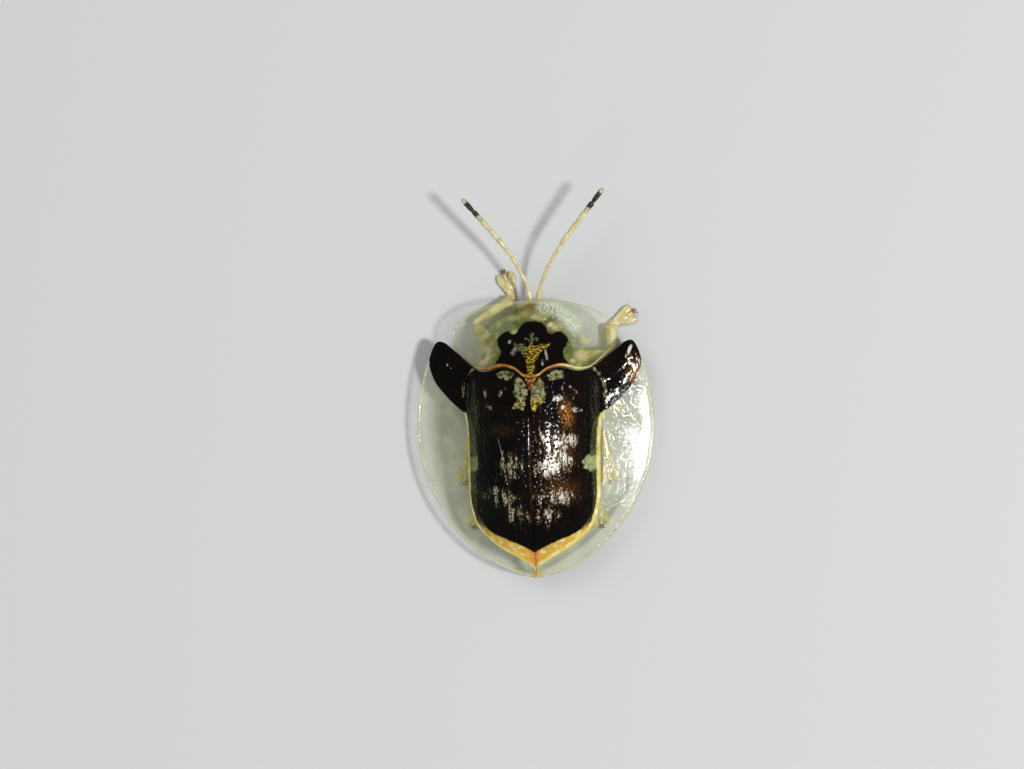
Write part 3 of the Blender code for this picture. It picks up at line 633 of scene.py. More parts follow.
def wing_case_finish():
    """Glossy black with gold and silver flecks, olive patches and side strip, and a yellow rim, with painted
    light and shade on the flecks and pits.
    """
    finish = Finish("wing_case_black", 0.12, Coat_Weight=0.25, Coat_Roughness=0.04)
    pit = finish.mark("pit")
    base = finish.mottle(colour(0.003, 0.002, 0.002), colour(0.008, 0.003, 0.002), 3.0, 0.42)
    amber = finish.mottle(colour(0.05, 0.012, 0.003), colour(0.70, 0.27, 0.04), 24.0, 0.47)
    base = finish.blend(finish.mark("amber"), base, amber)

    streaks = finish.noise(finish.place((11.0, 3.2, 1)), 1.0, 3.0, 0.65)
    specks = finish.noise(finish.place((1, 0.5, 1)), 26.0, 2.0)
    drift = finish.plus(finish.times(streaks, 0.62), finish.times(specks, 0.38))
    # The gold mark also carries painted glints on the shoulder arms.
    cover = finish.plus(drift, finish.less(finish.mark("gold"), 1.0))
    # Painted shade: the fleck colours are taken out of the pits' floors, which stay dark.
    fleck = finish.times(finish.ease(cover, 0.44, 0.57), finish.less(1.0, finish.ease(pit, 0.15, 0.75)))
    # Painted light: flecks on the beetle's right side (-X), towards the key lamp, take lighter tones than
    # those on the left.
    painted_light_side = finish.mark("painted_light_side")
    dull = finish.blend(painted_light_side, colour(0.17, 0.13, 0.06), colour(0.30, 0.20, 0.10))
    bright = finish.blend(painted_light_side, colour(0.46, 0.42, 0.28), colour(0.80, 0.79, 0.72))
    base = finish.blend(fleck, base, finish.blend(finish.ease(cover, 0.49, 0.60), dull, bright))

    olive_share = finish.ragged("olive_reach", 0.10, 0.010)
    # Painted shade: the olive patches are taken out of the pits too.
    olive_share = finish.times(olive_share, finish.less(1.0, finish.ease(pit, 0.2, 0.8)))
    olive = finish.mottle(colour(0.29, 0.29, 0.13), colour(0.04, 0.04, 0.012), 10.0, 0.50)
    gilt = finish.mottle(colour(0.66, 0.48, 0.05), colour(0.06, 0.04, 0.008), 14.0, 0.54)
    base = finish.blend(olive_share, base, finish.blend(finish.mark("gilt"), olive, gilt))

    black = finish.ragged("black_reach", 0.05, 0.018)
    strip = finish.mottle(colour(0.035, 0.040, 0.018), colour(0.11, 0.12, 0.05), 7.0, 0.42)
    pale = finish.mottle(colour(0.40, 0.45, 0.20), colour(0.16, 0.20, 0.06), 9.0, 0.44)
    strip = finish.blend(finish.mark("notch"), strip, pale)
    tail = finish.mottle(colour(0.66, 0.40, 0.055), colour(0.84, 0.72, 0.36), 6.0, 0.44)
    tail = finish.blend(finish.mark("keel"), tail, colour(0.70, 0.24, 0.03))
    strip = finish.blend(finish.mark("tail"), strip, tail)
    yellow = finish.mottle(colour(0.74, 0.58, 0.12), colour(0.86, 0.82, 0.44), 5.0, 0.46)
    strip = finish.blend(finish.ragged("rim_reach", 0.05, 0.012), strip, yellow)

    fine = finish.pitting(26.0, 0.20, 0.25, 0.0022)
    rough = finish.plus(0.09, finish.times(fine["Pit"], 0.15), finish.times(fleck, 0.16))
    base = finish.blend(black, strip, base)
    finish.give(Base_Color=base, Metallic=finish.times(fleck, 0.2), Roughness=rough)
    return finish.material


def brim_finish():
    """Clear, faintly yellow brim with a fine net of lines and a bright bead along its edge, its pale tint
    partly a painted highlight.
    """
    finish = Finish("clear_brim", 0.08, IOR=CLEAR_IOR, Specular_IOR_Level=CLEAR_GLOSS)
    line = finish.use(NET, Cells_per_mm=9.0, Line_width=0.10)["Line"]
    tint, share = finish.mottled(BRIM_GREEN, BRIM_STRAW, 2.2, 0.5)
    bead = finish.mark("bead")
    stain = finish.mark("stain")
    # The bead's pale tint is partly the thicker rim's own colour and partly a painted highlight for the
    # bright line along the edge; it also raises the cover.
    base = finish.blend(finish.times(bead, 0.6), tint, colour(0.90, 0.86, 0.66))
    base = finish.blend(stain, base, colour(0.70, 0.56, 0.16))
    cover = finish.plus(0.10, finish.times(line, 0.09), finish.times(share, 0.04), finish.times(bead, 0.38))
    cover = finish.step("ADD", cover, finish.times(stain, 0.45), clamp=True)
    fine = finish.use(PITTED, Pits_per_mm=9.0, Pit_width=0.16, Grain=0.35)
    finish.relief(finish.plus(fine["Height"], finish.times(line, -0.35)), 0.004)
    finish.give(Base_Color=base, Alpha=cover)
    return finish.material


def pronotum_finish(name, **plain):
    """Clear front and sides, olive-yellow disc, the lobed black mark and its gold wedge, amber hind rim, with
    painted glare and glints.
    """
    finish = Finish(name, 0.10, **plain)
    line = finish.use(NET, Cells_per_mm=9.0, Line_width=0.10)["Line"]
    brim = finish.mottle(BRIM_GREEN, BRIM_STRAW, 2.4, 0.5)
    disc, disc_share = finish.mottled(colour(0.19, 0.23, 0.055), colour(0.55, 0.54, 0.22), 4.5, 0.46)
    clear = finish.mark("clear")
    # Cream specks, one of them a painted glint.
    cream_and_glint = finish.mark("cream_and_glint")
    bead = finish.mark("bead")
    base = finish.blend(cream_and_glint, finish.blend(clear, disc, brim), colour(0.84, 0.68, 0.36))
    # Painted glare on the clear front: a streaky whitish-green band that also raises the cover.
    glare_streaks = finish.noise(finish.place((38.0, 16.0, 1)), 1.0, 3.0)
    painted_glare = finish.times(finish.mark("painted_glare"), finish.ease(glare_streaks, 0.22, 0.62))
    base = finish.blend(painted_glare, base, colour(0.78, 0.86, 0.68))
    base = finish.blend(finish.times(bead, 0.7), base, colour(0.82, 0.74, 0.42))
    black = finish.ragged("mark_reach", 0.035, 0.014)
    base = finish.blend(black, base, colour(0.004, 0.002, 0.002))
    wedge = finish.ragged("gold_reach", 0.15, 0.012)
    gold = finish.mottle(colour(0.80, 0.55, 0.04), colour(0.014, 0.008, 0.002), 22.0, 0.545)
    grey = finish.mottle(colour(0.24, 0.25, 0.11), colour(0.02, 0.022, 0.008), 22.0, 0.50)
    base = finish.blend(wedge, base, finish.blend(finish.mark("grey_arm"), gold, grey))
    rim = finish.mark("hind_rim")
    amber = finish.mottle(colour(0.46, 0.13, 0.015), colour(0.72, 0.38, 0.06), 3.0, 0.46)
    base = finish.blend(rim, base, finish.blend(finish.mark("pale_rim"), amber, colour(0.84, 0.72, 0.34)))
    # Painted glints: pale flecks on the black mark where highlights would shine.
    glint_breakup = finish.mottled(colour(1, 1, 1), colour(0, 0, 0), 22.0, 0.54)[1]
    base = finish.blend(finish.times(finish.mark("painted_glint"), glint_breakup), base, colour(0.62, 0.60, 0.50))
    thin = finish.plus(0.10, finish.times(line, 0.08), finish.times(painted_glare, 0.55), finish.times(bead, 0.25))
    thick = finish.plus(0.42, finish.times(disc_share, 0.28))
    cover = finish.node("ShaderNodeMix", {0: clear, 2: thick, 3: thin}, data_type="FLOAT").outputs[0]
    cover = finish.step("MAXIMUM", cover, cream_and_glint, black, wedge, rim)
    finish.give(Base_Color=base, Metallic=finish.times(wedge, 0.3), Alpha=cover)
    finish.pitting(14.0, 0.22, 0.3, 0.003)
    return finish.material


def case_marks(x, y, pit):
    """The values that colour a wing case, from its plan points."""
    wide = np.abs(x)
    right = x < 0
    ahead = [(-1.0, -2.0), (3.0, -2.0), (3.0, 0.52)]
    black = np.vstack([ahead, smooth_path(BLACK_EDGE, 60), [(-1.0, BLACK_TIP_Y)]])
    depth = np.where(right, 0.17, 0.05) * (1 + 0.35 * ripple(x, y, 71, 0.16))
    notch = depth * ridge(y - 1.60 + 0.06 * ripple(x, y, 72, 0.2), 0.14, 4) * (wide > 0.9)
    rim = joined_paths([(DISC_SIDE, 50), (DISC_TAIL, 40)])
    streak = line_distance(wide, y, smooth_path(SHOULDER_STREAK, 20))
    olive = [streak - np.where(right, 0.030, 0.018)]
    olive += [outline_reach(x, y, outline) for outline in OLIVE_PATCHES]
    suture = 0.55 * ridge(wide, 0.014) * ridge(y - 1.75, 0.95, 6)
    scratch = np.min([line_distance(x, y, line) for line in SCRATCHES], axis=0)
    keel_width = 0.05 + 0.20 * np.clip(3.75 - y, 0, 1)
    gilt = np.clip((y - 0.22) / 0.14, 0, np.where(x > 0, 0.5, 1.0))
    return {
        "pit": pit,
        "black_reach": outline_reach(wide, y, black) + notch,
        "notch": np.clip(notch / 0.07, 0, np.where(right, 1.0, 0.45)),
        "rim_reach": line_distance(wide, y, rim) - np.where(right, 0.075, 0.036),
        "tail": ramp(y, 2.80, 0.25),
        "keel": ridge(wide, keel_width) * ramp(y, 3.2, 0.3),
        # gold and silver flecks, with painted glints on the shoulder arms
        "gold": np.maximum(fading(x, y, GOLD_SPOTS_AND_PAINTED_GLINTS), 1.3 * ridge(scratch, 0.011)),
        "amber": np.maximum(spots(x, y, AMBER_SPOTS), suture),
        "olive_reach": np.min(olive, axis=0),
        "gilt": gilt + 0.7 * bell(x, y, (-0.22, -0.08), (0.06, 0.09)),
        # painted light: how far a point lies on the right side (-X), whose flecks are painted lighter
        "painted_light_side": ramp(-x, -0.10, 0.3),
    }


def wing_case(side, word, finish):
    """The opaque part of one wing case: its domed disc with the shoulder arm, sunk with rows of pits."""
    front = [(ELYTRON_BASE, BASE_STEPS), (SHOULDER_LINE, SHOULDER_STEPS)]
    outline = joined_paths(front + [(DISC_SIDE, 150), (DISC_TAIL, 90)])
    count = len(outline)
    corner = BASE_STEPS - 1
    bend = corner + SHOULDER_STEPS - 1
    along = np.interp(np.arange(count), [0, corner, bend, count - 1], [0.12, 0.34, 0.80, DISC_TAIL[-1][1]])
    suture = np.column_stack([np.full(count, SEAM), along])
    arm = joined_paths([(ARM_FRONT, 24), (ARM_TIP, 15), (ARM_REAR, 24)])
    root = outline[corner : bend + 1]
    spread = np.linspace(0, len(arm) - 1, len(root))
    arm = np.array([np.interp(spread, np.arange(len(arm)), arm[:, k]) for k in (0, 1)]).T
    at_base = (np.arange(count) < corner)[:, None]
    corners = []
    faces = []
    pit_of = []
    lines = {}
    start = 0
    for layer, part, inner, outer, rings in (
        ("top", "disc", suture, outline, 108),
        ("top", "arm", root, arm, 46),
        ("low", "disc", suture, outline, 14),
        ("low", "arm", root, arm, 8),
    ):
        shares = np.linspace(0, 1, rings)[None, :]
        x, y, length = ribs(inner, outer, shares)
        to_edge = (1 - shares) * length
        free = at_base if part == "disc" else 1.0
        drop = edge_drop(to_edge, 0.04) * free + 0.6 * edge_drop(x - SEAM, 0.035)
        pit = np.zeros(x.shape)
        if layer == "low":
            lift = drop * 0.5 - CASE_THICK
        else:
            still = np.clip(to_edge / 0.06, 0, 1) * np.clip((x - SEAM) / 0.05, 0, 1)
            swell = 0.0
            if part == "arm":
                still = np.clip(to_edge / 0.08, 0, 1) * 0.5
                swell = ARM_SWELL * ridge(line_distance(x, y, ARM_RIDGE), 0.20)
                swell = swell * np.clip(to_edge / 0.2, 0, 1)
            pit = pits(x, y, PIT_ACROSS, PIT_ALONG, PIT_RADIUS, 3 + side) * still
            uneven = 0.006 * ripple(x, y, 11 + side, 0.34) + 0.0035 * ripple(x, y, 21 + side, 0.16)
            lift = uneven * still - PIT_DEPTH * pit - drop + swell
        corners.append(shield_surface(x, y, lift).reshape(-1, 3))
        pit_of.append(pit.ravel())
        faces.append(grid_faces(len(inner), rings, start))
        lines[layer, part] = np.arange(x.size).reshape(x.shape) + start
        start += x.size
    top = lines["top", "disc"]
    low = lines["low", "disc"]
    faces.append(strip_faces(top[:, 0], low[:, 0]))
    faces.append(strip_faces(top[: corner + 1, -1], low[: corner + 1, -1]))
    faces.append(strip_faces(top[bend:, -1], low[bend:, -1]))
    faces.append(strip_faces(lines["top", "arm"][:, -1], lines["low", "arm"][:, -1]))
    corners = np.vstack(corners) * (side, 1, 1)
    marks = case_marks(corners[:, 0], corners[:, 1], np.concatenate(pit_of))
    nodes = [f"elytron_{word}"]
    add_piece(f"wing_case_{word}", corners, np.vstack(faces), [finish], nodes, marks, WELD)


def brim(side, word, finish):
    """The clear brim of one wing case, thin, with a bead along its edge."""
    inner = joined_paths([(ARM_REAR, 60), (DISC_SIDE, 130), (DISC_TAIL, 110)])
    inner[:, 0] = np.maximum(inner[:, 0], SEAM)
    outer = []
    for turn in np.linspace(math.radians(-25.0), math.radians(90), len(inner)):
        half = math.cos(turn) if turn < 0 else max(0.0, 1 - math.sin(turn) ** 2) ** 0.6
        y = SHIELD_CENTRE_Y + math.sin(turn) * (TAIL_Y - SHIELD_CENTRE_Y)
        outer.append((max(SHIELD_HALF_WIDTH * half, SEAM), y))
    shares = edge_shares(64, 1.0)
    x, y, length = ribs(inner, np.array(outer), shares)
    to_edge = (1 - shares) * length
    thick = (BRIM_THICK + bead_swell(to_edge)) * half_round(to_edge)
    middle = 0.004 * ripple(x, y, 31 + side, 0.5) * np.clip(to_edge / 0.3, 0, 1) - BEAD_THICK / 2
    keel = 0.03 * ridge(x - SEAM, 0.05) * ramp(y, 3.6, 0.2)
    top = shield_surface(x, y, middle + keel + thick / 2)
    corners, faces = closed_plate(top, shield_surface(x, y, middle - thick / 2))
    corners = corners * (side, 1, 1)
    px, py, _ = corners.T
    root_spot = 0.7 * bell(px, py, (-1.72, 0.42), (0.16, 0.14))
    keel_stain = 1.7 * ridge(px, 0.085) * ramp(py, 3.7, 0.15)
    marks = {
        "bead": ridge(both_faces(to_edge), BEAD_TINT_WIDTH),
        "stain": np.maximum(root_spot, keel_stain),
    }
    nodes = [f"elytron_margin_{word}"]
    add_piece(f"brim_{word}", corners, faces, [finish], nodes, marks, WELD)


def pronotum(finishes):
    """The whole pronotum as one plate, from its waved hind edge to its thin clear front."""
    rear = smooth_path(PRONOTUM_REAR + [PRONOTUM_CORNER], 190)
    rear = np.vstack([rear[::-1], (rear * (-1, 1))[1:]])
    front = [PRONOTUM_CORNER]
    for turn in np.linspace(0, math.pi, 361):
        across = math.copysign(abs(math.cos(turn)) ** (2 / PRONOTUM_POWER), math.cos(turn))
        ahead = (PRONOTUM_WIDEST_Y - HEAD_END_Y) * math.sin(turn) ** (2 / PRONOTUM_POWER)
        front.append((PRONOTUM_HALF_WIDTH * across, PRONOTUM_WIDEST_Y - ahead))
    front = smooth_path(front + [(-PRONOTUM_CORNER[0], PRONOTUM_CORNER[1])], len(rear))
    shares = edge_shares(110, 1.2)
    x, y, length = ribs(rear, front, shares)
    to_front = (1 - shares) * length
    to_rear = shares * length
    thick = BRIM_THICK + DISC_EXTRA_THICK * np.clip(to_front / 0.8, 0, 1) + bead_swell(to_front)
    thick = thick * half_round(np.minimum(to_front, to_rear))
    rear_bead = 0.018 * ridge(to_rear - 0.035, 0.022) - 0.012 * ridge(to_rear - 0.085, 0.03)
    middle = 0.004 * ripple(x, y, 41, 0.45) * np.clip(to_front / 0.3, 0, 1) - BEAD_THICK / 2
    top = shield_surface(x, y, middle + rear_bead + thick / 2)
    corners, faces = closed_plate(top, shield_surface(x, y, middle - thick / 2))
    px, py, _ = corners.T
    wide = np.abs(px)
    behind = [(-0.5, 0.2), (1.10, 0.2)]
    disc = np.vstack([behind, smooth_path(PRONOTUM_DISC, 40), [(-0.5, PRONOTUM_DISC[-1][1])]])
    black = np.vstack([smooth_path(PRONOTUM_MARK, 90), [(-0.5, -0.05), (-0.5, PRONOTUM_MARK[0][1])]])
    wedge = outline_reach(wide, py, np.vstack([smooth_path(GOLD_WEDGE, 60), [(-0.3, -0.10), (-0.3, -0.90)]]))
    stem = line_distance(wide, py, WEDGE_STEM) - 0.026
    cross = line_distance(wide, py, WEDGE_CROSS) - 0.022
    black_reach = outline_reach(wide, py, black)
    painted_glare_width = 0.15 + 0.03 * ripple(px, py, 81, 0.12)
    marks = {
        "clear": np.clip(outline_reach(wide, py, disc) / 0.16 + 0.35, 0, 1),
        "mark_reach": black_reach,
        "gold_reach": np.min([wedge, stem, cross], axis=0),
        "hind_rim": ridge(both_faces(to_rear) - 0.028, 0.022) * (0.65 + 0.35 * np.clip(wide / 0.4, 0, 1)),
        "bead": ridge(both_faces(to_front), BEAD_TINT_WIDTH),
        # cream specks, one of them a painted glint
        "cream_and_glint": spots(px, py, CREAM_SPOTS_AND_GLINT),
        # painted glare along the right of the clear front
        "painted_glare": ridge(line_distance(px, py, PAINTED_GLARE_LINE), painted_glare_width, 4),
        "pale_rim": ramp(-px, 0.45, 0.3),
        "grey_arm": ramp(px, 0.10, 0.06) + ramp(-py, 0.80, 0.03) * (wide < 0.14),
        # painted glints, kept on the black mark
        "painted_glint": spots(px, py, PAINTED_GLINT_SPOTS, 4) * np.clip(-black_reach / 0.03, 0, 1),
    }
    nodes = ["pronotum", "pronotum_margin"]
    mesh = add_piece("pronotum_plate", corners, faces, finishes, nodes, marks, WELD).data
    clear = read_mesh(mesh.attributes["clear"].data, "value", np.float32)
    first = read_mesh(mesh.polygons, "loop_start", np.int32)
    corner = read_mesh(mesh.loops, "vertex_index", np.int32)
    mesh.polygons.foreach_set("material_index", (clear[corner[first]] > 0.85).astype(np.int32))


def read_mesh(items, name, kind):
    """One value from each of a mesh's items."""
    values = np.zeros(len(items), kind)
    items.foreach_get(name, values)
    return values


class Heap:
    """Closed forms gathered into one piece: corners, faces and which finish each face takes."""

    def __init__(self):
        self.corners = []
        self.faces = []
        self.finish = []
        self.count = 0

    def add(self, corners, faces, finish=0):
        """Put in one form."""
        corners = np.asarray(corners, float)
        self.corners.append(corners)
        self.faces += [tuple(int(k) + self.count for k in face) for face in faces]
        self.finish += [finish] * len(faces)
        self.count += len(corners)

    def piece(self, name, finishes, nodes, slot, pale=None):
        """Make the heap into a piece; pale gives its pale share from its corners."""
        corners = np.vstack(self.corners)
        marks = {"pale_edge": pale(corners)} if pale else None
        made = add_piece(name, corners, self.faces, finishes, nodes, marks)
        made.data.polygons.foreach_set("material_index", self.finish)


def wrap_faces(rows, sides):
    """Faces of a tube of rings, with a fan at each end about two extra corners."""
    faces = []
    for i in range(rows - 1):
        for k in range(sides):
            there = (k + 1) % sides
            faces.append((i * sides + k, i * sides + there, (i + 1) * sides + there, (i + 1) * sides + k))
    last = (rows - 1) * sides
    for k in range(sides):
        there = (k + 1) % sides
        faces.append((k, there, rows * sides))
        faces.append((last + k, last + there, rows * sides + 1))
    return faces


def unit(way):
    """A way of length 1, or each row of several."""
    way = np.asarray(way, float)
    return way / np.linalg.norm(way, axis=-1, keepdims=True)


def tube(path, widths, heights, sides=20, floor=None, ridges=0, ridge_height=0.0):
    """A closed limb of oval rings square to a path, with low ridges along it where asked."""
    path = np.asarray(path, float)
    ahead = unit(np.gradient(path, axis=0))
    level = unit(np.cross(ahead, (0, 0, 1)))
    up = np.cross(level, ahead)
    turn = 2 * math.pi * (np.arange(sides) + 0.5) / sides
    swell = 1 + ridge_height * np.cos(ridges * turn)
    across = np.outer(np.asarray(widths) / 2, np.cos(turn) * swell)
    above = np.outer(np.asarray(heights) / 2, np.sin(turn) * swell)
    rings = path[:, None, :] + across[..., None] * level[:, None, :] + above[..., None] * up[:, None, :]
    corners = np.vstack([rings.reshape(-1, 3), path[:1], path[-1:]])
    if floor is not None:
        corners[:, 2] = np.maximum(corners[:, 2], floor)
    return corners, wrap_faces(len(path), sides)


def limb_path(route, table, count):
    """A smooth route read at steps that gather at its ends, and its thickness there."""
    fine = smooth_path(route, 160)
    shares = (1 - np.cos(np.linspace(0, math.pi, count))) / 2
    steps = np.linspace(0, 1, len(fine))
    path = np.column_stack([np.interp(shares, steps, fine[:, k]) for k in range(3)])
    knots = smooth_path(np.array(table, float), 120)
    return path, np.interp(shares, knots[:, 0], knots[:, 1])


def egg(centre, radii, around=24, rows=16, way=None):
    """A closed egg, its first radius along way where one is given."""
    tilt = np.linspace(0, math.pi, rows + 2)[1:-1]
    turn = 2 * math.pi * np.arange(around) / around
    level = np.outer(np.cos(tilt), np.ones(around))
    ring = np.stack([level, np.outer(np.sin(tilt), np.cos(turn)), np.outer(np.sin(tilt), np.sin(turn))], -1)
    points = np.vstack([ring.reshape(-1, 3), [(1, 0, 0), (-1, 0, 0)]]) * np.array(radii)
    if way is not None:
        first = unit(way)
        second = unit(np.cross((0, 0, 1), first))
        points = points @ np.array([first, second, np.cross(first, second)])
    return points + np.array(centre, float), wrap_faces(rows, around)


def bristles(roots, ways, lengths, thick):
    """Tapered hairs of three sides from roots along ways."""
    roots = np.asarray(roots, float)
    ways = unit(ways)
    side = unit(np.cross(ways, (0.31, 0.17, 0.93)))
    other = np.cross(ways, side)
    corners = []
    for turn in (0.0, 2.094, 4.189):
        corners.append(roots + thick / 2 * (math.cos(turn) * side + math.sin(turn) * other))
    corners.append(roots + ways * np.broadcast_to(lengths, len(roots))[:, None])
    count = len(roots)
    faces = []
    for k in range(count):
        a, b, c, tip = k, k + count, k + 2 * count, k + 3 * count
        faces += [(a, b, tip), (b, c, tip), (c, a, tip), (c, b, a)]
    return np.vstack(corners), faces


def skin_hairs(heap, form, draw, count, length, lean, thick, finish, keep=None):
    """Hairs that stand on a form's skin and lean one way, added to the heap."""
    corners, faces = form
    quads = np.array([f for f in faces if len(f) == 4])
    a, b, c = (corners[quads[:, k]] for k in range(3))
    normal = np.cross(b - a, c - b)
    size = np.linalg.norm(normal, axis=1)
    good = size > 1e-9
    quads, normal, size = quads[good], normal[good] / size[good][:, None], size[good]
    out = np.sign(((corners[quads[:, 0]] - corners.mean(axis=0)) * normal).sum())
    picked = draw.choice(len(quads), count, p=size / size.sum())
    spread = draw.uniform(0.1, 0.9, (count, 2, 1))
    low = corners[quads[picked, 0]] * (1 - spread[:, 0]) + corners[quads[picked, 1]] * spread[:, 0]
    high = corners[quads[picked, 3]] * (1 - spread[:, 0]) + corners[quads[picked, 2]] * spread[:, 0]
    roots = low * (1 - spread[:, 1]) + high * spread[:, 1]
    ways = out * normal[picked] * 0.7 + np.array(lean) + draw.normal(0, 0.15, (count, 3))
    if keep is not None:
        held = keep(roots)
        roots, ways = roots[held], ways[held]
    lengths = length * draw.uniform(0.6, 1.2, len(roots))
    heap.add(*bristles(roots - 0.15 * lengths[:, None] * ways, ways, lengths, thick), finish)


def fused(corners, faces, voxel, rounds):
    """Closed forms that cross, made one smooth skin."""
    mesh = bpy.data.meshes.new("fusing")
    mesh.from_pydata(np.asarray(corners).tolist(), [], faces)
    thing = bpy.data.objects.new("fusing", mesh)
    bpy.context.scene.collection.objects.link(thing)
    melt = thing.modifiers.new("melt", "REMESH")
    melt.mode = "VOXEL"
    melt.voxel_size = voxel
    even = thing.modifiers.new("even", "SMOOTH")
    even.factor = 0.5
    even.iterations = rounds
    made = bpy.data.meshes.new_from_object(thing.evaluated_get(bpy.context.evaluated_depsgraph_get()))
    points = np.zeros(len(made.vertices) * 3)
    made.vertices.foreach_get("co", points)
    skin = [tuple(p.vertices) for p in made.polygons]
    bpy.data.objects.remove(thing, do_unlink=True)
    bpy.data.meshes.remove(made)
    return points.reshape(-1, 3), skin


def limb_finish(name, main, patch, roughness=0.32):
    """Horn-like skin of the legs and feelers, a little see-through."""
    finish = Finish(name, roughness, Coat_Weight=0.2, Coat_Roughness=0.15)
    finish.give(Subsurface_Weight=0.35, Subsurface_Scale=0.12 * MM)
    finish.give(Base_Color=finish.mottle(main, patch, 5.0, 0.46))
    finish.pitting(30.0, 0.22, 0.5, 0.003)
    return finish.material


def hair_finish(name, main, patch):
    """Fine hair that turns paler in patches."""
    finish = Finish(name, 0.45)
    finish.give(Base_Color=finish.mottle(main, patch, 12.0, 0.5))
    return finish.material


def body_finish(name, main, patch):
    """Shining skin of the head and underside, in two browns, closely pitted."""
    finish = Finish(name, 0.3, Coat_Weight=0.3, Coat_Roughness=0.12)
    tone = finish.mottle(main, patch, 2.2, 0.42)
    finish.give(Base_Color=finish.blend(finish.mark("pale_edge"), tone, colour(0.50, 0.28, 0.08)))
    finish.pitting(16.0, 0.32, 0.4, 0.008)
    return finish.material


def eye_finish():
    """Black faceted eye with a wet shine."""
    finish = Finish("eye_facets", 0.1, Coat_Weight=0.8, Coat_Roughness=0.05)
    finish.give(Base_Color=finish.mottle(colour(0.008, 0.006, 0.005), colour(0.035, 0.018, 0.012), 6.0, 0.5))
    return finish.material


def scutellum_finish():
    """Brown-black little plate, golden at its front."""
    finish = Finish("scutellum_brown", 0.18, Coat_Weight=0.4)
    finish.give(Base_Color=finish.mottle(colour(0.10, 0.03, 0.012), colour(0.62, 0.36, 0.06), 7.0, 0.46))
    finish.pitting(20.0, 0.2, 0.3, 0.003)
    return finish.material


# Places of the finishes in the lists that limbs take, and of the hair in a body piece's list
DARK_HORN = 1
HAIR = 2
DARK_HAIR = 3
BODY_HAIR = 1
HAIR_THICK = 0.006

# How fine and how even the fused pads of a foot are
FOOT_VOXEL = 0.009
FOOT_ROUNDS = 4

# Legs, as the solids have them: hip, knee and ankle, and the toe in plan, on the beetle's left side
TIBIA_THICK = 0.24
FOOT_THICK = 0.13
LIMB_HEIGHT = 0.25
FRONT_RIGHT = ((0.60, -0.52), (1.50, -0.62), (1.57, -1.24), (2.03, -1.50))
FRONT_LEFT = ((0.60, -0.56), (1.26, -1.26), (0.49, -1.78), (0.66, -2.34))
MIDDLE = ((0.60, 0.44), (1.34, 0.92), (1.45, 1.50), (1.52, 2.00))
HIND = ((0.60, 1.14), (1.10, 1.98), (1.22, 2.44), (1.33, 2.92))
LEGS = {
    "front_left": (1, FRONT_LEFT),
    "front_right": (-1, FRONT_RIGHT),
    "middle_left": (1, MIDDLE),
    "middle_right": (-1, MIDDLE),
    "hind_left": (1, HIND),
    "hind_right": (-1, HIND),
}

# Thickness along each part, from share 0 to share 1 of its length
THIGH = [(0, 0.10), (0.05, 0.24), (0.2, 0.325), (0.5, 0.36), (0.8, 0.29), (0.95, 0.21), (1, 0.10)]
SHIN = [(0, 0.06), (0.05, 0.13), (0.14, 0.15), (0.3, 0.18), (0.6, 0.21), (0.9, 0.255), (0.97, 0.22),
        (1, 0.10)]
CLAW_JOINT = [(0, 0.045), (0.4, 0.06), (0.8, 0.085), (1, 0.05)]
CLAW = [(0, 0.040), (0.35, 0.046), (0.8, 0.022), (1, 0.004)]
JAW = [(0, 0.10), (0.4, 0.12), (0.8, 0.06), (1, 0.01)]
PALP_JOINT = [(0, 0.5), (0.3, 0.8), (0.8, 1.0), (1, 0.4)]

# Pads of a foot in pairs: share of its length, how far aside, spread of their ways, height and radii
PADS = [
    (0.20, 0.0375, 0.55, 0.048, (0.09, 0.058, 0.045)),
    (0.42, 0.06375, 0.55, 0.048, (0.11, 0.068, 0.045)),
    (0.72, 0.098, 0.30, 0.047, (0.17, 0.094, 0.045)),
]


